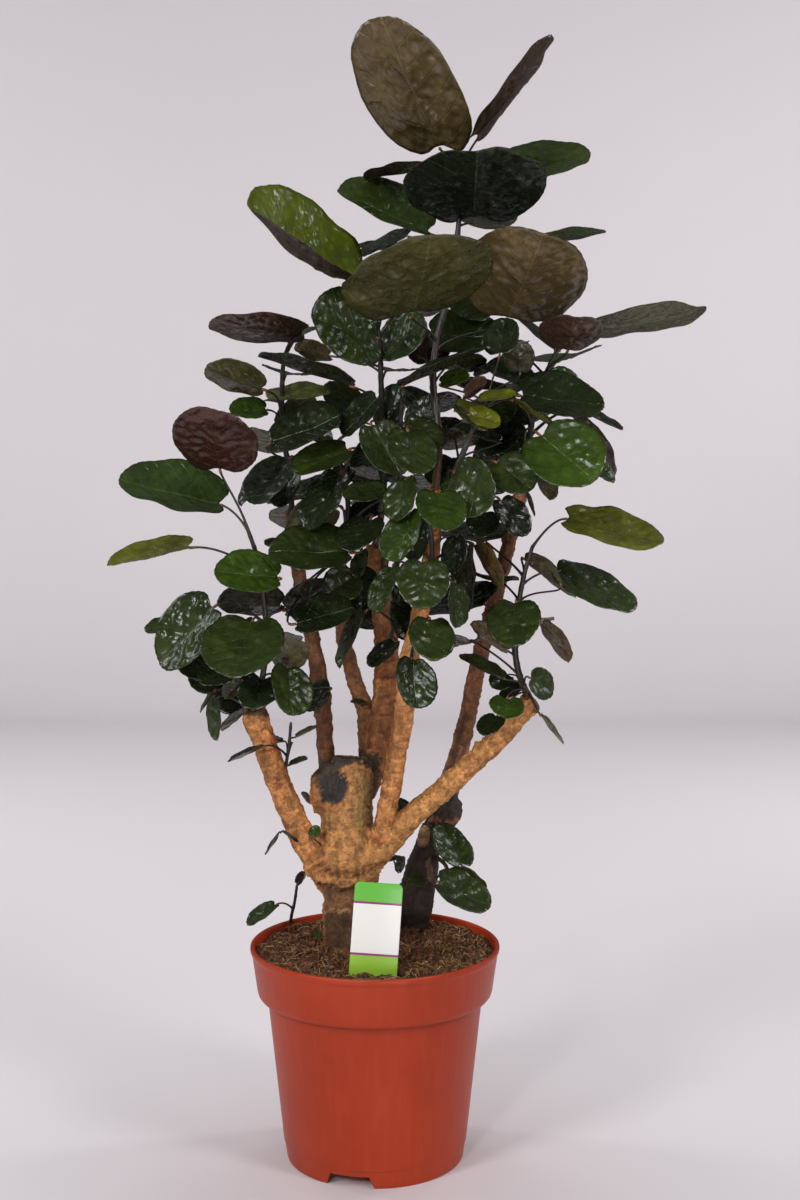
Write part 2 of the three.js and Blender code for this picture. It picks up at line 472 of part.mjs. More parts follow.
// A leaf: a rounded blade with a notch at the stalk and a waved margin, folded up along its midrib
// and cupped, as thin top and bottom faces split alike and joined at the margin. Where a root is
// given, a square stalk runs from there into the notch, and else the notch is closed. A plain leaf
// has fewer corners. A deep cup keeps the blade's start where it is.
function leafSolid(frame, thick, root) {
  const { start, run, up, wide, length, fold, cup, slim, plain } = frame;
  const big = !plain && length > blade.bigLength;
  const rim = big ? 12 : (!plain && length > 0.8 * blade.bigLength ? 10 : 8);
  const ribs = big ? [0.24, 0.5, 0.76] : (length > (plain ? 90 : 30) ? [0.28, 0.66] : [0.45]);
  const width = 2 * blade.widest * length;
  const sink = (cup - blade.cup) * 0.3 * blade.sideAt * blade.sideAt * length;
  const place = ([u, v], side) => {
    const along = v - blade.sideAt * length;
    const bowl = cup * (0.5 * u * u / width + 0.3 * along * along / length) - sink;
    const lift = fold * Math.abs(u) + bowl;
    const point = start.clone().addScaledVector(wide, u).addScaledVector(run, v);
    return point.addScaledVector(up, lift + side * thick / 2);
  };
  const outline = [[stalk.radius, stalk.sunk * length]];
  for (let i = 1; i < rim; i += 1) {
    const angle = -Math.PI / 2 + (i / rim) * Math.PI * 2;
    const wave = 1 + blade.wave * (i % 2 === 0 ? 1 : -1);
    const half = (width / 2) * slim[Math.cos(angle) > 0 ? 1 : 0];
    const far = blade.middle + (1 - blade.middle) * Math.sin(angle) * wave;
    outline.push([half * Math.cos(angle) * wave, length * far]);
  }
  outline.push([-stalk.radius, stalk.sunk * length]);
  const edge = outline.length;
  const nearest = outline.map(([, v]) => {
    const away = ribs.map((share) => Math.abs(share * length - v));
    return edge + away.indexOf(Math.min(...away));
  });
  const points = [...outline, ...ribs.map((share) => [0, share * length])];
  const count = points.length;
  const faces = [[edge - 1, 0, nearest[0]]];
  for (let i = 0; i + 1 < edge; i += 1) {
    faces.push([i, i + 1, nearest[i]]);
    if (nearest[i] !== nearest[i + 1]) faces.push([i + 1, nearest[i + 1], nearest[i]]);
  }
  const places = [...points.map((point) => place(point, 1)), ...points.map((point) => place(point, -1))];
  const triangles = [];
  faces.forEach(([a, b, c]) => {
    triangles.push(a, b, c);
    triangles.push(a + count, c + count, b + count);
  });
  for (let i = 0; i + 1 < edge; i += 1) {
    triangles.push(i, i + count, i + 1);
    triangles.push(i + 1, i + count, i + 1 + count);
  }
  let ring = [edge - 1, edge - 1 + count, count, 0];
  if (root) {
    const curve = stalkCurve(frame, root);
    const steps = !plain && root.distanceTo(start) > stalk.longReach ? 2 : 1;
    for (let k = steps - 1; k >= 0; k -= 1) {
      const centre = curve.getPoint(k / steps);
      const tangent = curve.getTangent(k / steps);
      const across = wide.clone().addScaledVector(tangent, -wide.dot(tangent)).normalize();
      const over = across.clone().cross(tangent).multiplyScalar(stalk.radius);
      across.multiplyScalar(stalk.radius);
      const next = [[-1, 1], [-1, -1], [1, -1], [1, 1]].map(([a, o]) => {
        places.push(centre.clone().addScaledVector(across, a).addScaledVector(over, o));
        return places.length - 1;
      });
      for (let i = 0; i < 4; i += 1) {
        const j = (i + 1) % 4;
        triangles.push(next[i], ring[i], next[j]);
        triangles.push(next[j], ring[i], ring[j]);
      }
      ring = next;
    }
  }
  triangles.push(ring[0], ring[1], ring[2]);
  triangles.push(ring[0], ring[2], ring[3]);
  const geometry = new THREE.BufferGeometry().setFromPoints(places);
  geometry.setIndex(triangles);
  return toSolid(geometry);
}

function stalkSpace(frame, root) {
  const places = [0, 0.33, 0.67, 0.95].map((t) => stalkCurve(frame, root).getPoint(t));
  return bar(places, places.map(() => stalk.radius * 1.4 + gap.test / 2), 4, 3);
}

// The stem's place that a leaf's stalk leaves: near the leaf, and lower than it
function rootOn(stem, frame) {
  let best = null;
  for (let i = stalk.firstMark; i < stalk.marks; i += 1) {
    const point = stem.getPoint((i + fraction(frame.length)) / stalk.marks);
    const reach = point.distanceTo(frame.start);
    const cost = reach + 1.2 * Math.max(0, point.z + 0.35 * reach - frame.start.z);
    if (best === null || cost < best.cost) best = { point, cost };
  }
  return best.point;
}

// The wood, and every leafy stem's axis
const woodBar = (rows, extra) => rowBar(rows, rows[0][3] > 20 ? 8 : 6, rows.length, extra);
const stemBar = (rows, extra) => rowBar(rows, 4, rows.length, extra);
const woods = {
  trunk_first: join(Object.values(firstTrunk).map((rows) => woodBar(rows, 0))),
  trunk_second: join(Object.values(secondTrunk).map((rows) => woodBar(rows, 0))),
};
const allWood = [...Object.values(firstTrunk), ...Object.values(secondTrunk)];
const woodKept = join(allWood.map((rows) => woodBar(rows, gap.wood)));
const axes = {};
const stemSolids = {};
Object.entries(stems).forEach(([name, rows]) => {
  const places = rows.map(([px, py, depth]) => seen(px, py, depth));
  axes[name] = new THREE.CatmullRomCurve3(places, false, 'centripetal');
  stemSolids[name] = stemBar(rows, 0);
});

// Each leaf is tried where it is read, then a little nearer or farther, until it is clear
const placed = [];
function keep(solid, owner, kind) {
  placed.push({ solid, owner, kind, box: solid.boundingBox() });
}
function meets(solid, owner, kind, strict) {
  const box = solid.boundingBox();
  return placed.some((other) => {
    const blades = other.kind !== 'stem' && (other.kind === 'blade' || kind === 'blade');
    if (other.owner === owner && !(strict && blades)) return false;
    if ([0, 1, 2].some((i) => box.min[i] > other.box.max[i] || box.max[i] < other.box.min[i])) return false;
    return !solid.intersect(other.solid).isEmpty();
  });
}
keep(woodKept, 'wood', 'wood');
keep(potSolid(), 'pot', 'wood');
keep(soilSolid(), 'soil', 'wood');
keep(labelSolid(0), 'label', 'wood');
Object.entries(stemSolids).forEach(([name, solid]) => keep(solid, name, 'stem'));

const shoots = {};
function tryLeaf(name, frames) {
  for (const strict of [true, false]) {
    for (const frame of frames) {
      const root = frame.root ?? rootOn(axes[name], frame);
      const space = leafSolid(frame, blade.thick + gap.test);
      const around = stalkSpace(frame, root);
      if (!meets(space, name, 'blade', strict) && !meets(around, name, 'stalk', strict)) {
        keep(leafSolid(frame, blade.thick), name, 'blade');
        keep(around, name, 'stalk');
        shoots[name].push(leafSolid(frame, blade.thick, root));
        return;
      }
    }
    if (frames[0].root) break;
  }
}
Object.keys(stems).forEach((name) => {
  shoots[name] = [stemSolids[name]];
});
Object.entries(leaves).forEach(([name, rows]) => {
  rows.forEach((leaf) => tryLeaf(name, shifts.map((shift) => frameFromView(leaf, shift))));
});
Object.entries(inner).forEach(([name, rows]) => {
  rows.forEach((leaf) => {
    tryLeaf(name, shifts.map((shift) => ({ ...frameFromView(leaf, shift), plain: true })));
  });
});
Object.entries(hidden).forEach(([name, rule]) => {
  for (let i = 0; i < rule.count; i += 1) {
    tryLeaf(name, turns.map((turn) => frameFromRule(axes[name], rule, i, turn)));
  }
});

// The pot, turned from its outline, with slots cut in its foot
function potSolid() {
  const top = pot.height;
  const step = top - pot.collarHeight;
  const inner = pot.wall;
  const channel = pot.channelTop;
  const outline = [
    [0, 0], [pot.padRadius, 0], [pot.padRadius + 5, channel - 2], [pot.footRadius - 7, channel - 2],
    [pot.footRadius - 3, 0], [pot.footRadius - 1, 0], [pot.footRadius, 3],
    [pot.wallTop, step - 4], [pot.wallTop + 1, step], [pot.collarFoot, step + 0.5],
    [pot.collarTop, top - pot.rimLip - 2], [pot.rimRadius, top - pot.rimLip], [pot.rimRadius, top - 1],
    [pot.rimRadius - 1.5, top], [pot.collarTop - inner, top - 2], [pot.collarFoot - inner, step + inner],
    [pot.wallTop - inner, step + inner - 2], [pot.footRadius - inner + 1.4, channel + 1],
    [pot.padRadius + 2, channel + 1], [pot.padRadius - 4, pot.floor], [0, pot.floor],
  ].map(([r, z]) => new THREE.Vector2(r, z));
  const turned = new THREE.LatheGeometry(outline, pot.sides);
  turned.rotateX(Math.PI / 2);
  let body = toSolid(turned);
  for (let i = 0; i < slot.count; i += 1) {
    const shape = new THREE.Shape();
    shape.moveTo(-slot.footWidth / 2 - 1, -2);
    shape.lineTo(slot.footWidth / 2 + 1, -2);
    shape.lineTo(slot.topWidth / 2, slot.height);
    shape.lineTo(-slot.topWidth / 2, slot.height);
    const cut = new THREE.ExtrudeGeometry(shape, { depth: slot.depth, bevelEnabled: false });
    cut.rotateX(Math.PI / 2);
    cut.translate(0, -(pot.footRadius - slot.inset), 0);
    cut.rotateZ(THREE.MathUtils.degToRad(slot.first + i * 360 / slot.count));
    body = body.subtract(toSolid(cut));
  }
  return body;
}

// The soil fills the pot to below the rim, with low bumps and plain holes for what stands in it
function soilSolid() {
  const step = pot.height - pot.collarHeight;
  const { level, clear } = soilTop;
  const under = pot.channelTop + 1 + clear;
  const edge = pot.collarTop - pot.wall - 1.6;
  const inside = [
    [0, pot.floor + clear], [pot.padRadius - 4 - clear, pot.floor + clear], [pot.padRadius + 1.8, under],
    [pot.footRadius - pot.wall + 1, under], [pot.wallTop - pot.wall - clear, step + pot.wall - 1.7],
    [pot.collarFoot - pot.wall - 0.4, step + pot.wall + 0.3],
    [edge, level], [0.75 * edge, level], [0.42 * edge, level], [0, level],
  ].map(([r, z]) => new THREE.Vector2(r, z));
  const turned = new THREE.LatheGeometry(inside, pot.sides);
  turned.rotateX(Math.PI / 2);
  const position = turned.attributes.position;
  for (let i = 0; i < position.count; i += 1) {
    const x = position.getX(i);
    const y = position.getY(i);
    if (position.getZ(i) > level - 0.1) {
      const ripple = Math.sin(x * 0.11 + 1) * Math.cos(y * 0.13) + 0.6 * Math.sin(x * 0.05 - y * 0.09);
      position.setZ(i, level + soilTop.bump * ripple);
    }
  }
  return toSolid(turned);
}

// The plain label: a card with round top corners that tapers to a stake in the soil
function labelSolid(extra) {
  const half = card.width / 2 + extra;
  const top = card.height + extra;
  const stake = card.stakeWidth / 2 + extra;
  const shape = new THREE.Shape();
  shape.moveTo(-half, card.shoulder);
  shape.lineTo(-half, top - card.corner);
  shape.absarc(-half + card.corner, top - card.corner, card.corner, Math.PI, Math.PI / 2, true);
  shape.absarc(half - card.corner, top - card.corner, card.corner, Math.PI / 2, 0, true);
  shape.lineTo(half, card.shoulder);
  shape.lineTo(stake, card.waist);
  shape.lineTo(stake, card.point - card.stake);
  shape.lineTo(0, -card.stake - extra);
  shape.lineTo(-stake, card.point - card.stake);
  shape.lineTo(-stake, card.waist);
  const thick = card.thick + 2 * extra;
  const sheet = new THREE.ExtrudeGeometry(shape, { depth: thick, bevelEnabled: false, curveSegments: 2 });
  sheet.translate(0, 0, -thick / 2);
  sheet.rotateX(Math.PI / 2);
  sheet.rotateX(-THREE.MathUtils.degToRad(card.tilt));
  sheet.rotateY(-THREE.MathUtils.degToRad(card.lean));
  const foot = seen(card.px, card.py, card.depth);
  sheet.translate(foot.x, foot.y, foot.z);
  return toSolid(sheet);
}

// Everything together
const part = new THREE.Group();
function addMesh(name, solid, colour, roughness) {
  const material = new THREE.MeshStandardMaterial({ color: new THREE.Color(colour), roughness, metalness: 0 });
  const mesh = new THREE.Mesh(toGeometry(solid.simplify(gap.sliver)), material);
  mesh.name = name;
  part.add(mesh);
}

const standing = [woodKept, labelSolid(soilTop.holeClear), stemBar(stems.soilSprout, soilTop.holeClear)];
addMesh('pot', potSolid(), '#a8482f', 0.45);
addMesh('soil', largest(standing.reduce((whole, one) => whole.subtract(one), soilSolid())), '#4a3526', 0.95);
addMesh('label', labelSolid(0), '#eceae4', 0.4);
addMesh('trunk_first', woods.trunk_first, '#b07c4c', 0.8);
addMesh('trunk_second', woods.trunk_second, '#5a3f2c', 0.85);
Object.entries(shoots).forEach(([name, solids]) => {
  addMesh(`leaves_${name}`, largest(join(solids).subtract(woodKept)), '#3f5a2e', 0.35);
});

export default part;
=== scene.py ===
# A potted Fabian aralia: cut woody branches with round glossy leaves, in a terracotta red pot.
# The places are read in a picture of 800 by 1200 pixels, as those of the solids are. Lengths are in
# millimetres until a mesh is made, which is in metres.
import json
import math

import bpy
import numpy as np
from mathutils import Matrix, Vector

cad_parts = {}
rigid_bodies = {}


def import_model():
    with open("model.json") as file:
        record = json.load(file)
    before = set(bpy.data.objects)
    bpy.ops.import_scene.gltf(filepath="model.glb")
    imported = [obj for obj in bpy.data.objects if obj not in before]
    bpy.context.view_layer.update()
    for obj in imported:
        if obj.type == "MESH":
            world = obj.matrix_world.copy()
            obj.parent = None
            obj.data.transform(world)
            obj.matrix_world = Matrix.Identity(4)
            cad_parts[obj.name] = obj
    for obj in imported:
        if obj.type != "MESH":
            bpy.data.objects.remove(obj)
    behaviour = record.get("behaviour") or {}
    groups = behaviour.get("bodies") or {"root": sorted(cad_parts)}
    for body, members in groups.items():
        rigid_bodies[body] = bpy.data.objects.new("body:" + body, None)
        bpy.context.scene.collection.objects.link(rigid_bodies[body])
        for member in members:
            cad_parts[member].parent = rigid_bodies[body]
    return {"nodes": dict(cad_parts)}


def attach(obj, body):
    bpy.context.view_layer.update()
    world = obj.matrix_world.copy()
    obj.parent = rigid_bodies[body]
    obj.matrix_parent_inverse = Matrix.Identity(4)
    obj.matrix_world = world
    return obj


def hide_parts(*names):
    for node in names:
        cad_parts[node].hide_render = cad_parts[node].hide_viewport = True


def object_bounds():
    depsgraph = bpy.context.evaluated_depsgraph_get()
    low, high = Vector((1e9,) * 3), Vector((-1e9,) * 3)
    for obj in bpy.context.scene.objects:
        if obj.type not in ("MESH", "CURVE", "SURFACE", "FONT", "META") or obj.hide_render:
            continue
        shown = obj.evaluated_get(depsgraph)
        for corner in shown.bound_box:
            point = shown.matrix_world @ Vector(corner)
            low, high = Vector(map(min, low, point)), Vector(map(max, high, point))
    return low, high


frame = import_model()
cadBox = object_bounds()
print("frame loaded with", len(frame["nodes"]), "nodes")

view = {
    "eye": (24.1, -1598.0, 673.0), "down": 4.76, "focal": 1690.0, "middle": (400.0, 600.0),
    "wide": 800, "tall": 1200,
}
eye = np.array(view["eye"])
down = math.radians(view["down"])
ahead = np.array([0.0, math.cos(down), -math.sin(down)])
above = np.array([0.0, math.sin(down), math.cos(down)])
aside = np.array([1.0, 0.0, 0.0])
zAxis = np.array([0.0, 0.0, 1.0])
golden = 0.618034
spreads = (golden, 0.754878, 0.569840, 0.819173, 0.671044, 0.549700)  # steps that fill 0 to 1 evenly


# A vector divided by its own length
def unit(v):
    return v / np.linalg.norm(v, axis=-1, keepdims=True)


# A pixel's place: the eye plus its ray, as long as it takes to reach that depth behind the pot's axis
def seen(px, py, depth):
    px, py, depth = np.broadcast_arrays(*(np.asarray(v, float) for v in (px, py, depth)))
    acrossPart = ((px - view["middle"][0]) / view["focal"])[..., None]
    upPart = ((view["middle"][1] - py) / view["focal"])[..., None]
    ray = ahead + aside * acrossPart + above * upPart
    return eye + ray * ((depth - eye[1]) / ray[..., 1])[..., None]


# A smooth path through places: each stretch is a cubic whose end slopes are weighted by the roots of
# the distances between its neighbours; t runs from 0 to 1 along the whole path
def smoothPath(places, t):
    p = np.asarray(places, float)
    p = np.vstack([2 * p[:1] - p[1:2], p, 2 * p[-1:] - p[-2:-1]])
    count = len(p) - 3
    t = np.atleast_1d(np.asarray(t, float))
    part = np.clip(np.floor(t * count).astype(int), 0, count - 1)
    w = (t * count - part)[:, None]
    a, b, c, d = p[part], p[part + 1], p[part + 2], p[part + 3]
    before, here, after = (np.sqrt(np.linalg.norm(v, axis=1, keepdims=True)) for v in (b - a, c - b, d - c))
    slopeStart = ((b - a) / before - (c - a) / (before + here) + (c - b) / here) * here
    slopeEnd = ((c - b) / here - (d - b) / (here + after) + (d - c) / after) * here
    bend = -3 * b + 3 * c - 2 * slopeStart - slopeEnd
    return b + slopeStart * w + bend * w**2 + (2 * b - 2 * c + slopeStart + slopeEnd) * w**3


# Soft random hills: a sum of sine waves in seeded directions, about one unit high
def hills(points, size, seed, waves=9):
    rng = np.random.default_rng(seed)
    way = unit(rng.normal(size=(waves, points.shape[-1])))
    turn = way * (2 * math.pi / size) * rng.uniform(0.6, 1.5, (waves, 1))
    return np.sin(points @ turn.T + rng.uniform(0, 2 * math.pi, waves)).sum(axis=-1) / math.sqrt(waves)


# A smooth step from 0 below low to 1 above high
def ease(value, low, high):
    s = np.clip((value - low) / (high - low), 0, 1)
    return s * s * (3 - 2 * s)


# A colour as it is seen on a screen, given from 0 to 255, as Blender's linear one
def paint(red, green, blue, alpha=1.0):
    c = np.array([red, green, blue]) / 255
    return np.append(np.where(c < 0.04045, c / 12.92, ((c + 0.055) / 1.055) ** 2.4), alpha)


# The faces of a grid with rows of a given length, closed round each row if asked
def gridFaces(rows, columns, closed=True, start=0):
    i, j = np.meshgrid(np.arange(rows - 1), np.arange(columns if closed else columns - 1), indexing="ij")
    k = (j + 1) % columns
    quads = np.stack([i * columns + j, i * columns + k, (i + 1) * columns + k, (i + 1) * columns + j], -1)
    return quads.reshape(-1, 4) + start


# The faces that close a ring of points to one middle point
def fanFaces(ring, middle, flip=False):
    fans = np.stack([np.full(len(ring), middle), ring, np.roll(ring, -1)], -1)
    return fans[:, ::-1] if flip else fans


# Rings of points, one above the other, and the two middle points that close them, as one surface
def closedRings(rings, ends):
    count, sides = rings.shape[:2]
    points = np.vstack([rings.reshape(-1, 3), ends])
    first, last = np.arange(sides), np.arange(sides) + (count - 1) * sides
    fans = [fanFaces(first, len(points) - 2, True), fanFaces(last, len(points) - 1)]
    return {"points": points, "quads": gridFaces(count, sides), "fans": np.vstack(fans)}


# A round bar: circles of given radii carried along a path, each square to it, and closed at the ends
def roundBar(path, radii, sides, upright):
    tangent = unit(np.gradient(path, axis=0))
    across = unit(upright - tangent * (tangent @ upright)[:, None])
    over = np.cross(tangent, across)
    angle = np.arange(sides) / sides * 2 * math.pi
    ring = np.cos(angle)[None, :, None] * across[:, None] + np.sin(angle)[None, :, None] * over[:, None]
    return closedRings(path[:, None] + np.asarray(radii, float)[:, None, None] * ring, path[[0, -1]])


# Gives a mesh its colour for each point
def giveTint(mesh, tints):
    tint = mesh.attributes.new("tint", "FLOAT_COLOR", "POINT")
    tint.data.foreach_set("color", tints.astype(np.float32).ravel())


# Several surfaces as one mesh object. Each is a dictionary of points, quads or fans, and may have a
# tint for each point, a uv for each point and the number of its finish.
def makePiece(name, surfaces, finishes, smooth=True):
    points, tints, uvs, corners, sizes, slots = [], [], [], [], [], []
    start = 0
    for s in surfaces:
        n = len(s["points"])
        points.append(s["points"])
        tints.append(np.broadcast_to(s.get("tint", (0.5, 0.5, 0.5, 1.0)), (n, 4)))
        uvs.append(np.broadcast_to(s.get("uv", (0.0, 0.0)), (n, 2)))
        for kind in ("quads", "fans"):
            if len(s.get(kind, ())):
                faces = np.asarray(s[kind])
                corners.append((faces + start).ravel())
                sizes.append(np.full(len(faces), faces.shape[1]))
                slots.append(np.full(len(faces), s.get("finish", 0)))
        start += n
    points, tints, uvs = np.vstack(points) * 0.001, np.vstack(tints), np.vstack(uvs)
    corners, sizes, slots = np.concatenate(corners), np.concatenate(sizes), np.concatenate(slots)
    mesh = bpy.data.meshes.new(name)
    mesh.vertices.add(len(points))
    mesh.vertices.foreach_set("co", points.astype(np.float32).ravel())
    mesh.loops.add(len(corners))
    mesh.loops.foreach_set("vertex_index", corners.astype(np.int32))
    mesh.polygons.add(len(sizes))
    mesh.polygons.foreach_set("loop_start", np.concatenate([[0], np.cumsum(sizes)[:-1]]).astype(np.int32))
    mesh.polygons.foreach_set("material_index", slots.astype(np.int32))
    mesh.polygons.foreach_set("use_smooth", np.full(len(sizes), smooth))
    mesh.update(calc_edges=True)
    giveTint(mesh, tints)
    mesh.uv_layers.new(name="place").data.foreach_set("uv", uvs[corners].astype(np.float32).ravel())
    for finish in finishes:
        mesh.materials.append(finish)
    piece = bpy.data.objects.new(name, mesh)
    bpy.context.scene.collection.objects.link(piece)
    return piece


# Rides a piece on the body and lets it stand for its solid
def stand(piece, node):
    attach(piece, "root")
    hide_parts(node)


# Starts a finish; add(kind, inputs) makes one node and gives back its output
def startFinish(name):
    material = bpy.data.materials.new(name)
    material.use_nodes = True
    tree = material.node_tree
    tree.nodes.clear()

    def add(kind, inputs, out=0, **settings):
        node = tree.nodes.new("ShaderNode" + kind)
        for key, value in settings.items():
            setattr(node, key, value)
        for key, value in inputs.items():
            if isinstance(value, bpy.types.NodeSocket):
                tree.links.new(value, node.inputs[key])
            else:
                node.inputs[key].default_value = value
        return node.outputs[out] if len(node.outputs) else None

    return material, add


# A colour that goes from a to b with the factor
def mixed(add, factor, a, b, blend="MIX"):
    return add("Mix", {0: factor, 6: a, 7: b}, out=2, data_type="RGBA", blend_type=blend)


# A colour times three numbers
def dyed(add, colour, red, green, blue):
    return mixed(add, 1.0, colour, (red, green, blue, 1), "MULTIPLY")


# Two numbers put together by one operation
def counted(add, operation, a, b=0.0):
    return add("Math", {0: a, 1: b}, operation=operation)


# A smooth step from toLow to toHigh as the value goes from low to high
def between(add, value, low, high, toLow=0.0, toHigh=1.0):
    limits = {"Value": value, "From Min": low, "From Max": high, "To Min": toLow, "To Max": toHigh}
    return add("MapRange", limits, interpolation_type="SMOOTHSTEP")


# Soft noise, so many waves to the metre
def noise(add, where, scale, detail=3.0, rough=0.5):
    return add("TexNoise", {"Vector": where, "Scale": scale, "Detail": detail, "Roughness": rough})


# The place on the object in metres, stretched by three numbers
def placeOnObject(add, stretch=(1.0, 1.0, 1.0)):
    return add("Mapping", {"Vector": add("TexCoord", {}, out=3), "Scale": stretch})


# Ends a finish: one plain surface with its colour, roughness and relief, and what else is fixed
def closeFinish(add, colour, rough, bump, **fixed):
    inputs = {"Base Color": colour, "Roughness": rough, "Normal": bump}
    inputs.update({key.replace("_", " "): value for key, value in fixed.items()})
    add("OutputMaterial", {"Surface": add("BsdfPrincipled", inputs)})


# Leafy stems: pixel across, pixel down, depth behind the pot's axis, radius
stemRows = {
    "crown": [(435, 492, -40, 3.6), (439, 440, -36, 3.4), (433, 380, -26, 3.2), (437, 340, -20, 3),
        (450, 290, -14, 2.8), (459, 220, -8, 2.4), (462, 165, -6, 2)],
    "centre": [(375, 549, 36, 3.6), (383, 500, 34, 3.2), (383, 440, 30, 3), (381, 380, 24, 2.6),
        (379, 335, 20, 2.2), (370, 300, 12, 2)],
    "leftHigh": [(292, 514, 50, 3), (289, 470, 44, 2.8), (284, 440, 36, 2.6), (282, 400, 26, 2.4),
        (284, 360, 14, 2), (290, 342, 6, 1.6)],
    "leftTall": [(253, 714, -19, 3.2), (262, 680, -24, 2.8), (266, 640, -30, 2.6), (264, 600, -36, 2.4),
        (258, 560, -42, 2.2), (248, 530, -48, 1.8)],
    "leftShort": [(247, 714, -18, 2.4), (240, 692, -26, 2.2), (230, 674, -36, 1.9), (222, 660, -44, 1.6)],
    "leftInner": [(259, 713, -17, 2.4), (272, 693, -40, 2.2), (283, 676, -60, 2), (284, 658, -70, 1.7)],
    "middleLeft": [(338, 574, 52, 3), (343, 540, 44, 2.8), (348, 510, 34, 2.5), (345, 480, 24, 2.2),
        (338, 455, 10, 1.8)],
    "front": [(424, 603, -32, 2.6), (430, 575, -60, 2.4), (432, 545, -76, 2.2), (428, 520, -86, 2),
        (420, 495, -88, 1.7)],
    "middle": [(384, 572, 28, 3), (393, 520, 10, 2.8), (398, 460, -16, 2.5), (400, 430, -36, 2.2),
        (402, 405, -46, 1.8)],
    "middleRight": [(440, 522, -44, 3), (456, 470, -50, 2.7), (471, 435, -54, 2.4), (480, 415, -60, 2),
        (488, 396, -62, 1.7)],
    "rightHigh": [(521, 496, 40, 3.4), (528, 450, 30, 3), (533, 415, 12, 2.8), (541, 385, 0, 2.4),
        (556, 352, -8, 1.9)],
    "rightLow": [(533, 704, -21, 3.4), (521, 680, -30, 3), (515, 650, -34, 2.8), (518, 610, -38, 2.5),
        (524, 575, -40, 2.2), (533, 545, -40, 1.7)],
    "frontSprout": [(410, 670, -30, 2.4), (412, 655, -54, 2), (414, 646, -64, 1.7)],
    "centreSprout": [(388, 655, 30, 2.6), (391, 640, 10, 2.2), (394, 622, -6, 1.8)],
    "trunkSprout": [(432, 856, 56, 2.4), (443, 862, 30, 2), (449, 872, 8, 1.6)],
    "branchSprout": [(283, 788, -6, 1.8), (286, 765, -10, 1.6), (289, 745, -14, 1.5),
        (291, 722, -18, 1.3)],
    "lowSprout": [(306, 846, -2, 1.8), (293, 838, -18, 1.5), (283, 831, -20, 1.3)],
    "soilSprout": [(300, 945, 66, 1.8), (291, 925, 73, 1.7), (295, 900, 70, 1.5), (297, 885, 68, 1.3)],
}

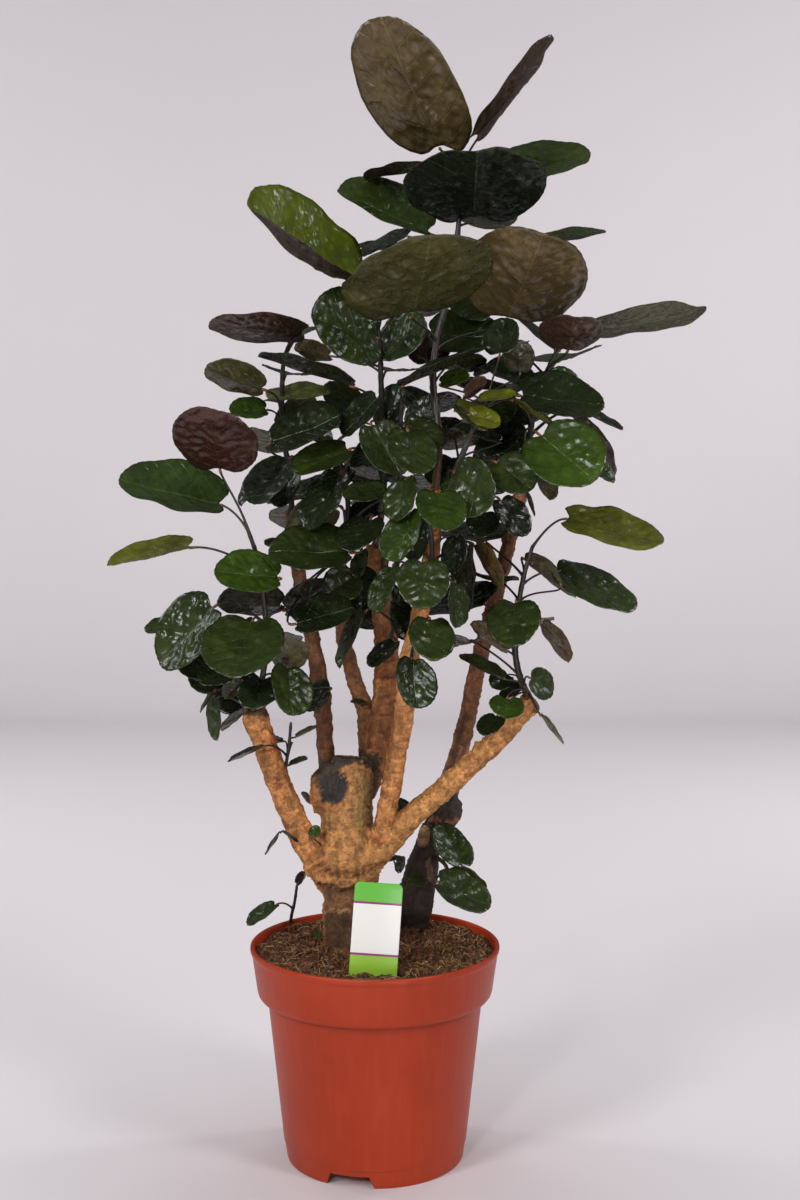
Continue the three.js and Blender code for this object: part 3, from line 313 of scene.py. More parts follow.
# Leaves: the pixels of the stalk's joint, of the tip and of the margin's widest place on one side, the
# depth, the face that shows, the tone, and where they differ, the fold, how slim the far half is and the cup
leafRows = {
    "crown": [
        (440, 149, 383, 24, 358, 98, -30, "under", "bronze", 0.02, 0.75),
        (479, 137, 554, 38, 521, 96, 0, "under", "purple", 0.1, 0.6),
        (497, 180, 591, 156, 531, 144, 20, "top", "green"),
        (428, 233, 337, 191, 397, 184, 25, "top", "green", 0.16, 0.4),
        (474, 222, 478, 156, 545, 188, -10, "under", "veined", 0.05),
        (408, 250, 356, 248, 383, 242, 70, "under", "dark"),
        (412, 316, 430, 246, 492, 270, -60, "under", "olive", 0.06),
        (508, 320, 541, 240, 583, 291, -60, "under", "bronze"),
        (527, 247, 606, 234, 563, 231, 30, "top", "green"),
        (522, 257, 505, 238, 517, 241, 50, "under", "dark"),
        (428, 365, 428, 332, 451, 348, 60, "under", "purple"),
        (430, 335, 500, 338, 465, 310, 20, "top", "dark"),
    ],
    "centre": [
        (356, 284, 249, 213, 302, 208, -30, "top", "folded", 0.24, 0.79, 1.34),
        (376, 338, 312, 318, 350, 289, -30, "top", "green"),
        (382, 345, 428, 330, 402, 312, 10, "top", "green"),
        (350, 386, 257, 357, 311, 362, -40, "under", "dark"),
        (330, 356, 294, 350, 312, 340, 30, "under", "bronze"),
    ],
    "leftHigh": [
        (303, 334, 209, 326, 255, 345, -10, "under", "purple", 0.1, 0.7),
        (268, 400, 331, 394, 297, 384, 20, "top", "pale"),
        (266, 410, 229, 411, 247, 397, 0, "top", "bright"),
        (262, 389, 204, 370, 231, 393, -20, "under", "olive", 0.1),
        (272, 443, 342, 417, 300, 448, -30, "top", "dark"),
        (278, 426, 319, 403, 297, 427, 10, "under", "olive"),
        (289, 459, 256, 505, 248, 476, 10, "top", "dark"),
        (292, 470, 282, 508, 270, 488, 24, "top", "dark"),
        (300, 425, 334, 442, 312, 412, 30, "top", "dark"),
    ],
    "leftTall": [
        (220, 470, 208, 411, 257, 446, -60, "under", "red", 0.02),
        (221, 505, 119, 482, 183, 462, -40, "top", "midrib", 0.2),
        (190, 548, 108, 567, 150, 540, -50, "top", "yellow", 0.2),
        (278, 578, 214, 572, 248, 593, -80, "top", "bright"),
        (281, 606, 217, 603, 248, 617, -10, "under", "dark"),
        (214, 607, 160, 664, 170, 606, -60, "top", "green"),
        (175, 622, 146, 633, 155, 619, -30, "top", "green"),
        (252, 622, 233, 677, 283, 645, -100, "top", "green"),
        (243, 622, 213, 658, 208, 638, -40, "top", "dark"),
    ],
    "leftShort": [
        (230, 668, 200, 683, 205, 662, -50, "top", "dark"),
        (214, 691, 201, 713, 205, 700, -40, "top", "green"),
        (218, 698, 217, 741, 207, 714, -30, "top", "green"),
        (247, 710, 222, 732, 230, 716, -4, "under", "grey"),
    ],
    "leftInner": [
        (262, 680, 256, 710, 237, 692, -100, "top", "dark"),
        (287, 668, 292, 716, 313, 692, -100, "top", "green"),
        (283, 668, 298, 640, 308, 660, -60, "under", "olive"),
        (330, 690, 305, 706, 318, 710, -20, "top", "dark"),
    ],
    "middleLeft": [
        (350, 553, 268, 552, 310, 571, -70, "top", "green"),
        (348, 450, 294, 474, 310, 446, -50, "top", "green"),
        (340, 474, 311, 530, 304, 496, -30, "top", "dark"),
        (287, 610, 335, 588, 303, 582, -20, "under", "dark"),
        (296, 624, 354, 608, 325, 631, -60, "top", "dark"),
        (335, 508, 288, 540, 322, 538, -20, "under", "olive"),
        (385, 492, 343, 497, 362, 481, -70, "top", "green"),
        (370, 520, 350, 552, 338, 530, -40, "top", "dark"),
        (362, 552, 360, 578, 350, 568, -30, "top", "green"),
    ],
    "front": [
        (424, 562, 422, 609, 450, 582, -130, "top", "green"),
        (393, 566, 380, 612, 369, 592, -90, "top", "green"),
        (455, 583, 455, 628, 469, 606, -90, "top", "green"),
        (408, 515, 398, 562, 380, 540, -100, "top", "bright"),
        (405, 480, 400, 521, 383, 502, -90, "top", "green"),
        (437, 493, 445, 531, 467, 508, -140, "top", "bright"),
        (458, 536, 455, 574, 441, 555, -70, "top", "dark"),
        (470, 545, 467, 613, 476, 580, -40, "top", "dark"),
        (474, 545, 501, 590, 484, 570, -20, "under", "bronze"),
    ],
    "frontSprout": [
        (430, 620, 432, 661, 408, 634, -100, "top", "green"),
        (412, 660, 416, 709, 437, 684, -86, "top", "green"),
    ],
    "centreSprout": [
        (365, 612, 340, 668, 343, 632, -30, "top", "green"),
        (395, 642, 372, 668, 372, 650, -10, "top", "dark"),
        (398, 602, 402, 640, 415, 620, -16, "top", "dark"),
        (362, 697, 345, 704, 353, 694, 14, "top", "dark"),
    ],
    "middle": [
        (408, 432, 415, 475, 438, 452, -110, "top", "green"),
        (372, 426, 400, 474, 364, 455, -80, "top", "green"),
        (403, 386, 488, 349, 440, 360, -60, "top", "dark"),
        (405, 425, 445, 445, 430, 420, -60, "top", "olive"),
    ],
    "middleRight": [
        (455, 473, 490, 508, 487, 464, -110, "top", "green"),
        (497, 463, 532, 490, 530, 458, -100, "top", "green"),
        (470, 415, 501, 423, 485, 406, -90, "top", "yellow"),
        (455, 406, 488, 430, 468, 424, -70, "top", "yellow"),
        (480, 400, 517, 395, 497, 389, -80, "top", "yellow"),
        (513, 401, 557, 431, 532, 410, -70, "top", "yellow"),
        (441, 384, 470, 375, 452, 370, -60, "top", "bright"),
        (465, 395, 488, 382, 475, 378, -70, "under", "purple"),
        (500, 500, 524, 537, 498, 520, -60, "top", "dark"),
        (485, 512, 478, 537, 499, 526, -50, "top", "dark"),
        (520, 372, 516, 340, 535, 355, -30, "under", "green"),
    ],
    "rightHigh": [
        (541, 436, 594, 481, 594, 430, -100, "top", "bright"),
        (521, 396, 604, 407, 560, 418, -80, "top", "dark"),
        (585, 412, 622, 431, 608, 417, -20, "top", "dark"),
        (572, 416, 612, 478, 603, 438, 50, "under", "purple"),
        (548, 385, 582, 390, 562, 366, -60, "top", "bright"),
        (568, 350, 575, 318, 603, 333, -60, "under", "purple"),
        (598, 331, 706, 314, 646, 336, -20, "under", "olive", 0.05, 0.9),
        (557, 311, 569, 301, 564, 310, -20, "top", "yellow"),
        (540, 470, 550, 501, 557, 484, 20, "under", "olive"),
        (526, 492, 534, 517, 531, 503, -30, "top", "dark"),
    ],
    "rightLow": [
        (567, 519, 663, 543, 615, 511, -50, "top", "yellow", 0.03),
        (557, 572, 636, 608, 600, 571, -50, "top", "green", 0.03),
        (560, 583, 545, 560, 555, 570, -60, "under", "pale"),
        (516, 603, 512, 647, 541, 620, -90, "top", "green"),
        (524, 559, 575, 599, 543, 578, -10, "under", "bronze"),
        (508, 651, 470, 624, 486, 643, -20, "under", "bronze"),
        (541, 625, 569, 663, 550, 646, -10, "under", "bronze"),
        (502, 678, 458, 657, 485, 659, -60, "top", "green"),
        (508, 675, 492, 688, 492, 672, -30, "top", "dark"),
        (530, 678, 553, 692, 546, 669, -60, "top", "green"),
        (507, 699, 506, 719, 489, 703, -80, "top", "bright"),
        (497, 716, 484, 736, 478, 721, -50, "top", "dark"),
        (541, 716, 563, 745, 554, 730, -30, "top", "pale"),
    ],
    "trunkSprout": [
        (462, 866, 441, 823, 433, 846, 20, "top", "green", 0.16, 0.75),
        (438, 882, 490, 908, 457, 908, -20, "top", "green"),
        (460, 868, 486, 893, 478, 876, 10, "under", "olive"),
    ],
    "branchSprout": [
        (296, 737, 318, 727, 306, 728, -14, "top", "pale"),
        (283, 741, 262, 742, 272, 736, 6, "under", "dark"),
        (262, 747, 228, 763, 243, 751, 16, "top", "dark"),
    ],
    "lowSprout": [
        (280, 833, 266, 855, 271, 843, -22, "top", "dark"),
    ],
    "soilSprout": [
        (276, 905, 248, 926, 256, 908, 50, "top", "green"),
        (297, 884, 306, 872, 303, 882, 64, "under", "purple"),
    ],
}

# Inner leaves, mostly hidden by those above, in the same order of values
innerRows = {
    "crown": [
        (412, 428, 437, 397, 411, 404, -20, "top", "dark"),
    ],
    "centre": [
        (378, 398, 343, 436, 350, 404, 0, "top", "dark"),
        (392, 440, 350, 466, 366, 438, 10, "top", "dark"),
        (386, 428, 401, 384, 405, 412, 10, "top", "dark"),
        (388, 504, 347, 520, 364, 498, 20, "top", "dark"),
    ],
    "leftHigh": [
        (263, 468, 242, 507, 244, 484, 0, "top", "dark"),
    ],
    "leftShort": [
        (242, 680, 224, 698, 239, 694, -40, "under", "dark"),
    ],
    "middleLeft": [
        (352, 470, 322, 500, 328, 474, 10, "top", "dark"),
    ],
    "front": [
        (424, 518, 412, 562, 430, 541, -40, "top", "dark"),
    ],
    "middleRight": [
        (532, 382, 488, 369, 516, 363, -10, "top", "dark"),
        (500, 442, 456, 428, 483, 426, -40, "top", "dark"),
        (500, 354, 505, 318, 520, 335, -50, "top", "dark"),
    ],
    "rightHigh": [
        (557, 352, 514, 318, 541, 331, -40, "top", "dark"),
        (592, 466, 615, 481, 602, 479, 20, "top", "green"),
    ],
    "rightLow": [
        (522, 686, 499, 701, 507, 686, -10, "top", "dark"),
    ],
}

# The leaves behind, which the view hides: how many each stem has, and the way they face on average
hiddenLeaves = {
    "crown": {"count": 8, "turn": 95, "spread": 55}, "centre": {"count": 7, "turn": 85, "spread": 50},
    "leftHigh": {"count": 6, "turn": 90, "spread": 60}, "leftTall": {"count": 5, "turn": 60, "spread": 30},
    "middleLeft": {"count": 7, "turn": 105, "spread": 70}, "middle": {"count": 3, "turn": 90, "spread": 60},
    "middleRight": {"count": 3, "turn": 80, "spread": 60}, "front": {"count": 2, "turn": 90, "spread": 60},
    "rightHigh": {"count": 7, "turn": 110, "spread": 50}, "rightLow": {"count": 6, "turn": 120, "spread": 40},
    "leftShort": {"count": 2, "turn": 100, "spread": 40},
}

# Tiny leaves that only the scene has: the pixels where the stalk leaves the wood or soil, then as above
tinyLeaves = [
    (321, 846, 314, 837, 317, 825, 321, 832, -18, "top", "bright"),
    (316, 806, 310, 803, 301, 792, 309, 795, 22, "under", "dark"),
    (292, 742, 289, 765, 308, 759, 299, 757, -14, "top", "green"),
    (384, 800, 395, 803, 411, 813, 401, 814, 36, "top", "dark"),
    (384, 852, 383, 862, 403, 858, 391, 856, 14, "top", "dark"),
    (390, 850, 399, 872, 404, 856, 405, 866, 20, "under", "dark"),
    (428, 880, 425, 884, 406, 880, 417, 875, 30, "top", "green"),
    (362, 706, 367, 704, 350, 702, 359, 699, 30, "top", "green"),
    (316, 944, 316, 938, 319, 931, 322, 936, -6, "top", "bright"),
]


# What a leaf may look like: the colour of its upper face, of its lower face, and how pale its veins are
leafTones = {
    "green": (paint(40, 53, 15), paint(60, 58, 30), 0.4),
    "dark": (paint(25, 35, 12), paint(38, 38, 22), 0.3),
    "bright": (paint(46, 66, 10), paint(66, 70, 24), 0.5),
    "yellow": (paint(94, 98, 18), paint(94, 92, 32), 0.6),
    # pale: paler than the leaf's own green, as painted light that shines through the blade and painted sheen
    "pale": (paint(86, 90, 48), paint(92, 90, 56), 0.6),
    "midrib": (paint(40, 56, 18), paint(62, 62, 32), 0.9),
    "veined": (paint(30, 40, 20), paint(28, 36, 20), 0.9),
    "olive": (paint(42, 50, 17), paint(74, 70, 38), 0.4),
    "bronze": (paint(42, 52, 20), paint(88, 72, 44), 0.4),
    "purple": (paint(34, 38, 20), paint(66, 42, 34), 0.3),
    "red": (paint(38, 34, 20), paint(56, 26, 21), 0.3),
    "grey": (paint(62, 54, 46), paint(68, 56, 48), 0.3),
    "folded": (paint(84, 96, 14), paint(56, 38, 30), 0.55),
}
behindTones = ("dark", "green", "olive", "dark", "bronze", "dark", "green", "purple")

# Of a leaf: shares of its length, except thicknesses, teeth and the rib, which are millimetres. Its mesh
# has so many spokes and rings when it is longer than the first number.
leafForm = {
    "meshes": ((72, 100, 14), (45, 78, 11), (0, 54, 8)), "widest": 0.49, "middle": 0.44,
    "sideAt": 0.45, "fold": 0.16, "cup": 0.22, "crease": 0.012, "notch": 0.13, "notchWide": 0.32,
    "thick": 0.8, "rimThick": 0.4, "solidThick": 0.9, "toothEvery": 4.4, "toothDeep": 0.5,
    "waveHigh": 0.009, "swell": 0.008, "blister": 0.027, "ribHigh": 0.55, "ribWide": 0.014,
    "veins": 6.5, "cells": 6.0, "bubble": 0.2, "veinLean": 0.42, "veinCurve": 0.75,
    "sunk": 0.01, "swing": 0.3, "rise": 0.16, "lead": 0.25, "marks": 40, "firstMark": 3,
}
plainLeaf = {"fold": leafForm["fold"], "cup": leafForm["cup"], "slim": (1.0, 1.0), "plain": True}
shifts = (0, -6, 6, -12, 12, -18, 18, -26, 26, -34, 34, -44, 44, -56, 56)
turns = (0, 12, -12, 24, -24, 38, -38, 54, -54)


# A leaf's frame from three pixels and a depth: where its blade starts, the way it runs, the way of its
# width and of its upper face. Its length in the picture against its width gives how far it leans away.
def frameFromView(row, shift, plain):
    joint, tip, side, depth, face = row[0:2], row[2:4], row[4:6], row[6] + shift, row[7]
    fold = row[9] if len(row) > 9 else leafForm["fold"]
    slim = row[10] if len(row) > 10 else 1.0
    cup = row[11] if len(row) > 11 else leafForm["cup"]
    start = seen(*joint, depth)
    sight = unit(start - eye)
    e1 = unit(np.cross(sight, zAxis))
    e2 = np.cross(e1, sight)
    toTip, toSide = seen(*tip, depth) - start, seen(*side, depth) - start
    p = np.array([toTip @ e1, toTip @ e2])
    s = np.array([toSide @ e1, toSide @ e2])
    k = leafForm["widest"]
    rise = np.zeros(2)
    for _ in range(4):  # the fold lifts the side's pixel, so the frame is found again with that lift
        q = s - leafForm["sideAt"] * p - rise
        pq, pp, qq = p @ q, p @ p, q @ q
        c = qq - k * k * pp
        a = math.sqrt(max((c + math.sqrt(c * c + 4 * k * k * pq * pq)) / (2 * k * k), 0))
        b = math.sqrt(max(k * k * (pp + a * a) - qq, 0)) * (-1 if pq > 0 else 1)
        for way in (1, -1):
            run = e1 * p[0] + e2 * p[1] + sight * way * a
            wide = e1 * q[0] + e2 * q[1] + sight * way * b
            up = unit(np.cross(run, wide))
            up = -up if up[2] < 0 else up
            shows = "top" if up @ sight < 0 else "under"
            if way == 1 or shows == face:
                bestRun, bestUp = run, up
            if shows == face:
                break
        rise = fold * k * np.linalg.norm(bestRun) * np.array([bestUp @ e1, bestUp @ e2])
    run = unit(bestRun)
    wide = np.cross(run, bestUp)
    right = (e1 @ wide) * s[0] + (e2 @ wide) * s[1] > 0
    return {"start": start, "run": run, "up": bestUp, "wide": wide, "length": np.linalg.norm(bestRun),
            "fold": fold, "cup": cup, "slim": (slim, 1.0) if right else (1.0, slim), "plain": plain}


# A frame by rule, for a leaf that the view hides: the golden ratio and its like spread their ways
def frameFromRule(axis, rule, index, turn):
    f = [((index + 1) * step) % 1.0 for step in spreads]
    spin = math.radians(rule["turn"] + rule["spread"] * (2 * f[0] - 1) + turn)
    reach, length = 34 + 40 * f[1], 46 + 38 * f[2]
    lift, roll = math.radians(12 - 34 * f[3]), math.radians(50 * (f[4] - 0.5))
    out = np.array([math.cos(spin), math.sin(spin), 0.0])
    root = smoothPath(axis, 0.16 + 0.84 * (index + 0.5) / rule["count"])[0]
    start = root + out * reach * 0.85 + zAxis * reach * 0.45
    run = out * math.cos(lift) + zAxis * math.sin(lift)
    up = unit(zAxis - run * run[2])
    up = up * math.cos(roll) + np.cross(run, up) * math.sin(roll)
    return {"start": start, "run": run, "up": up, "wide": np.cross(run, up), "length": length,
            "root": root, **plainLeaf}


# The height of a blade above its flat: a fold up from the midrib, and a bowl that starts at the stalk
def leafHeight(place, u, v):
    length, width = place["length"], 2 * leafForm["widest"] * place["length"]
    crease = leafForm["crease"] * length
    bowl = 0.5 * u * u / width + 0.3 * (v - leafForm["sideAt"] * length) ** 2 / length
    sink = (place["cup"] - leafForm["cup"]) * 0.3 * leafForm["sideAt"] ** 2 * length
    return place["fold"] * (np.sqrt(u * u + crease * crease) - crease) + place["cup"] * bowl - sink


# Whether a frame is the one that the solid leaf stands in: the solid has corners on its midrib and tip
def standsInSolid(place, corners):
    length, plain = place["length"], place["plain"]
    rim = 8 if plain or length <= 57.6 else (10 if length <= 72 else 12)
    ribs = (0.24, 0.5, 0.76) if rim == 12 else ((0.28, 0.66) if length > (90 if plain else 30) else (0.45,))
    tipShare = leafForm["middle"] + (1 - leafForm["middle"]) * (0.975 if rim == 10 else 1.025)
    v = np.array([*ribs, tipShare]) * length
    marks = place["start"] + v[:, None] * place["run"] + leafHeight(place, 0 * v, v)[:, None] * place["up"]
    half = place["up"] * leafForm["solidThick"] / 2
    marks = np.vstack([marks + half, marks - half])
    near = np.linalg.norm(corners[None] - marks[:, None], axis=2).min(axis=1)
    return np.count_nonzero(near < 0.12) >= 2


# The stalk's way: a cubic from the stem, up and over, and into the blade's notch; a plain leaf's is flatter
def stalkPath(place, root, t):
    end = place["start"] + place["run"] * leafForm["sunk"] * place["length"]
    bent = np.linalg.norm(end - root) * (0.35 if place["plain"] else 1.0)
    first = root + (end - root) * leafForm["swing"] + zAxis * leafForm["rise"] * bent
    last = end - (end - root) * (0.33 if place["plain"] else 0.0) - place["run"] * leafForm["lead"] * bent
    t = t[:, None]
    return root * (1 - t) ** 3 + 3 * first * t * (1 - t) ** 2 + 3 * last * t * t * (1 - t) + end * t**3


# The stem's place that a stalk leaves: near the leaf, and lower than it
def rootOn(axis, place):
    t = (np.arange(leafForm["firstMark"], leafForm["marks"]) + place["length"] % 1.0) / leafForm["marks"]
    points = smoothPath(axis, t)
    reach = np.linalg.norm(points - place["start"], axis=1)
    cost = reach + 1.2 * np.maximum(0, points[:, 2] + 0.35 * reach - place["start"][2])
    return points[np.argmin(cost)]


# A blade: rings round its middle, out to an oval margin with a notch at the stalk and small round
# teeth. Its height is the fold along the midrib, plus a cup, plus a wave that grows to the margin,
# plus blisters that stand between the veins. Two faces, thinner at the margin, are joined there.
def leafBlade(place, tone, seed):
    rng = np.random.default_rng(seed)
    length, form = place["length"], leafForm
    spokes, rings = next(mesh[1:] for mesh in form["meshes"] if length > mesh[0])
    width = 2 * form["widest"] * length
    angle = -math.pi / 2 + np.arange(spokes) / spokes * 2 * math.pi
    share = (np.arange(1, rings + 1) / rings) ** 0.85
    teeth = max(round(math.pi * length / form["toothEvery"]), 16)
    teeth = min(teeth, spokes // 3)
    edge = 1 - form["toothDeep"] / length * (1 + np.cos(teeth * angle + rng.uniform(0, 6)))
    edge *= 1 + 0.012 * np.sin(3 * angle + rng.uniform(0, 6)) + 0.008 * np.sin(5 * angle + rng.uniform(0, 6))
    slim = np.where(np.cos(angle) > 0, place["slim"][1], place["slim"][0])
    marginU = width / 2 * np.cos(angle) * slim * edge
    fromBase = (angle + math.pi / 2 + math.pi) % (2 * math.pi) - math.pi
    notch = form["notch"] * np.exp(-((fromBase / form["notchWide"]) ** 2))
    marginV = length * (form["middle"] + (1 - form["middle"]) * np.sin(angle) * edge + notch)
    middleV = form["middle"] * length
    u = np.append(0, (share[:, None] * marginU).ravel())
    v = np.append(middleV, (middleV + share[:, None] * (marginV - middleV)).ravel())
    out = np.append(0, np.repeat(share, spokes))
    spin = np.append(0, np.tile(angle, rings))
    away = np.abs(u) / length
    phase = form["veins"] * (v / length - away * (form["veinLean"] + form["veinCurve"] * away))
    puff = np.abs(np.sin(math.pi * phase)) ** 0.75
    across = away * form["cells"] + np.floor(phase) * golden + rng.uniform()
    cell = 0.35 + 0.65 * np.abs(np.sin(math.pi * across))
    fade = (1 - ease(out, 0.82, 1.0)) * (1 - np.exp(-((away / 0.05) ** 2)))
    flat = np.stack([u, v], axis=1) / length
    height = leafHeight(place, u, v)
    bubbles = np.minimum(np.abs(hills(flat, form["bubble"], seed + 5, 14)), 1.3)
    raised = 0.5 * puff * cell + 0.55 * bubbles - 0.35
    height += form["blister"] * length * raised * fade * rng.uniform(0.7, 1.15)
    waves = np.sin(rng.integers(4, 8) * spin + rng.uniform(0, 6)) + 0.6 * np.sin(9 * spin + rng.uniform(0, 6))
    height += form["waveHigh"] * length * waves * out**4
    height += form["swell"] * length * hills(flat, 0.45, seed + 7)
    half = (form["thick"] + (form["rimThick"] - form["thick"]) * out**2) / 2
    rib = np.exp(-((u / (form["ribWide"] * length)) ** 2)) * (1 - ease(v / length, 0.3, 0.95))
    spread = place["start"] + u[:, None] * place["wide"] + v[:, None] * place["run"]
    top = spread + (height + half)[:, None] * place["up"]
    under = spread + (height - half - form["ribHigh"] * rib)[:, None] * place["up"]
    count = len(top)
    ring = 1 + np.arange(spokes)
    outer = 1 + (rings - 1) * spokes + np.arange(spokes)
    quads = gridFaces(rings, spokes, start=1)
    side = np.stack([outer + count, np.roll(outer, -1) + count, np.roll(outer, -1), outer], -1)
    topColour, underColour, veinPale = leafTones[tone]
    shade = rng.uniform(0.85, 1.15) * (1 + 0.16 * hills(flat, 0.5, seed + 3)) * (0.82 + 0.36 * v / length)
    shade *= 1 - 0.3 * ease(out, 0.93, 1.0)
    tints = []
    for colour in (topColour, underColour):
        tint = np.tile(colour, (count, 1))
        tint[:, :3] *= shade[:, None]
        tint[:, 3] = veinPale
        tints.append(tint)
    return {
        "points": np.vstack([top, under]),
        "quads": np.vstack([quads[:, ::-1], quads + count, side]),
        "fans": np.vstack([fanFaces(ring, 0), fanFaces(ring + count, count, True)]),
        "tint": np.vstack(tints),
        "uv": np.vstack([flat, flat]),
    }


stalkForm = {
    "radius": 1.05, "foot": 1.9, "joint": 1.45, "steps": 18, "sides": 8,
    "skin": paint(31, 28, 19), "jointTint": paint(122, 72, 40), "footTint": paint(70, 50, 36),
}


# Gives a round bar its colour for each step of its path, and the second finish
def barTinted(bar, tint, sides):
    tint = np.repeat(tint, sides, axis=0)
    tint = np.vstack([tint, tint[:1], tint[-1:]])
    tint[:, 3] = 1
    bar.update(tint=tint, finish=1)
    return bar


# A stalk: a round bar, wide where it clasps the stem and swollen where the blade sits on it
def leafStalk(place, root, seed):
    rng = np.random.default_rng(seed)
    t = np.linspace(0, 1, stalkForm["steps"])
    path = stalkPath(place, root, t)
    radii = stalkForm["radius"] + (stalkForm["foot"] - stalkForm["radius"]) * np.exp(-t * 9)
    radii = radii + (stalkForm["joint"] - stalkForm["radius"]) * np.exp(-(((t - 0.95) / 0.06) ** 2))
    radii = radii * min(1.0, 0.62 + place["length"] / 140)
    bar = roundBar(path, radii, stalkForm["sides"], place["wide"])
    atJoint = np.exp(-(((t - 0.96) / 0.07) ** 2))[:, None]
    atFoot = np.exp(-t * 12)[:, None]
    skin = stalkForm["skin"] * rng.uniform(0.7, 1.2)
    tint = skin * (1 - atJoint) * (1 - atFoot)
    tint += stalkForm["jointTint"] * atJoint + stalkForm["footTint"] * atFoot
    return barTinted(bar, tint, stalkForm["sides"])


stemForm = {
    "sides": 12, "step": 2.2, "knot": 0.16, "knotEvery": 11.0, "knotWide": 1.3,
    "low": paint(92, 66, 40), "high": paint(30, 27, 19),
}


# A leafy stem: a round bar with rings where leaves have grown, brown below and green above
def leafyStem(rows):
    rows = np.asarray(rows, float)
    places = seen(rows[:, 0], rows[:, 1], rows[:, 2])
    whole = np.linalg.norm(np.diff(places, axis=0), axis=1).sum()
    t = np.linspace(0, 1, max(int(whole / stemForm["step"]), 12))
    path = smoothPath(places, t)
    radii = np.interp(t * (len(rows) - 1), np.arange(len(rows)), rows[:, 3])
    along = t * whole
    every = stemForm["knotEvery"]
    fromRing = (along + 2.5 * np.sin(along / 17)) % every - every / 2
    rings = np.exp(-((fromRing / stemForm["knotWide"]) ** 2))
    radii = radii * (1 + stemForm["knot"] * rings)
    radii[-1] *= 0.5
    bar = roundBar(path, radii, stemForm["sides"], np.array([0.0, 1.0, 0.0]))
    mix = ease(t, 0.0, 0.3)[:, None]
    tint = stemForm["low"] * (1 - mix) + stemForm["high"] * mix
    return barTinted(bar, tint * (1 - 0.3 * rings[:, None]), stemForm["sides"])


leafSkin = {
    "rough": 0.2, "roughMore": 0.14, "cells": 130.0, "veinWide": 0.045, "ribWide": 0.013,
    "bump": 0.7, "bumpHigh": 0.0013, "gloss": 0.5,
}


# The blade's finish: the tint of each leaf, paler along the veins, which are lines of equal v minus a
# curve of |u|, and glossy, with a net of fine blisters and painted shade in the creases between them
def makeLeafSkin():
    material, add = startFinish("leafSkin")
    place = add("UVMap", {}, uv_map="place")
    u, v = add("SeparateXYZ", {0: place}), add("SeparateXYZ", {0: place}, out=1)
    away = counted(add, "ABSOLUTE", u)
    bend = counted(add, "ADD", counted(add, "MULTIPLY", away, leafForm["veinCurve"]), leafForm["veinLean"])
    climb = counted(add, "SUBTRACT", v, counted(add, "MULTIPLY", away, bend))
    phase = counted(add, "MULTIPLY", climb, leafForm["veins"])
    vein = between(add, counted(add, "PINGPONG", phase, 0.5), 0.0, leafSkin["veinWide"], 1.0, 0.0)
    rib = between(add, away, 0.0, leafSkin["ribWide"], 1.0, 0.0)
    lines = counted(add, "MAXIMUM", counted(add, "MULTIPLY", vein, 0.6), rib)
    where = placeOnObject(add)
    cells = add("TexVoronoi", {"Vector": where, "Scale": leafSkin["cells"]}, feature="SMOOTH_F1")
    net = between(add, cells, 0.1, 0.65, 1.0, 0.0)
    cloud = noise(add, where, 60.0, 4.0, 0.6)
    colour = add("Attribute", {}, attribute_name="tint")
    strength = add("Attribute", {}, out=3, attribute_name="tint")
    lighter = mixed(add, 1.0, dyed(add, colour, 1.5, 1.6, 1.2), (0.035, 0.04, 0.018, 1), "ADD")
    colour = mixed(add, counted(add, "MULTIPLY", lines, strength), colour, lighter)
    # painted shade: the creases between the blisters, where the relief sinks, are darkened towards near black
    colour = mixed(add, between(add, net, 0.0, 1.0, 0.28, 0.0), colour, (0.006, 0.01, 0.004, 1))
    warmer = dyed(add, colour, 1.35, 1.25, 0.9)
    colour = mixed(add, between(add, cloud, 0.35, 0.7, 0.0, 0.3), colour, warmer)
    relief = counted(add, "SUBTRACT", net, counted(add, "MULTIPLY", lines, 0.7))
    relief = counted(add, "ADD", relief, counted(add, "MULTIPLY", noise(add, where, 900.0, 2.0), 0.03))
    bump = add("Bump", {"Strength": leafSkin["bump"], "Distance": leafSkin["bumpHigh"], "Height": relief})
    rough = between(add, cloud, 0.2, 0.8, leafSkin["rough"], leafSkin["rough"] + leafSkin["roughMore"])
    closeFinish(add, colour, rough, bump, Specular_IOR_Level=leafSkin["gloss"])
    return material


# The finish of stalks and leafy stems: the tint with fine lengthwise specks, and a low gloss
def makeStalkSkin():
    material, add = startFinish("stalkSkin")
    where = placeOnObject(add, (1.0, 1.0, 0.3))
    specks = noise(add, where, 700.0, 3.0, 0.6)
    colour = add("Attribute", {}, attribute_name="tint")
    colour = mixed(add, between(add, specks, 0.5, 0.75, 0.0, 0.5), colour, (0.12, 0.09, 0.06, 1))
    bump = add("Bump", {"Strength": 0.4, "Distance": 0.0004, "Height": specks})
    closeFinish(add, colour, between(add, specks, 0.2, 0.8, 0.32, 0.5), bump)
    return material

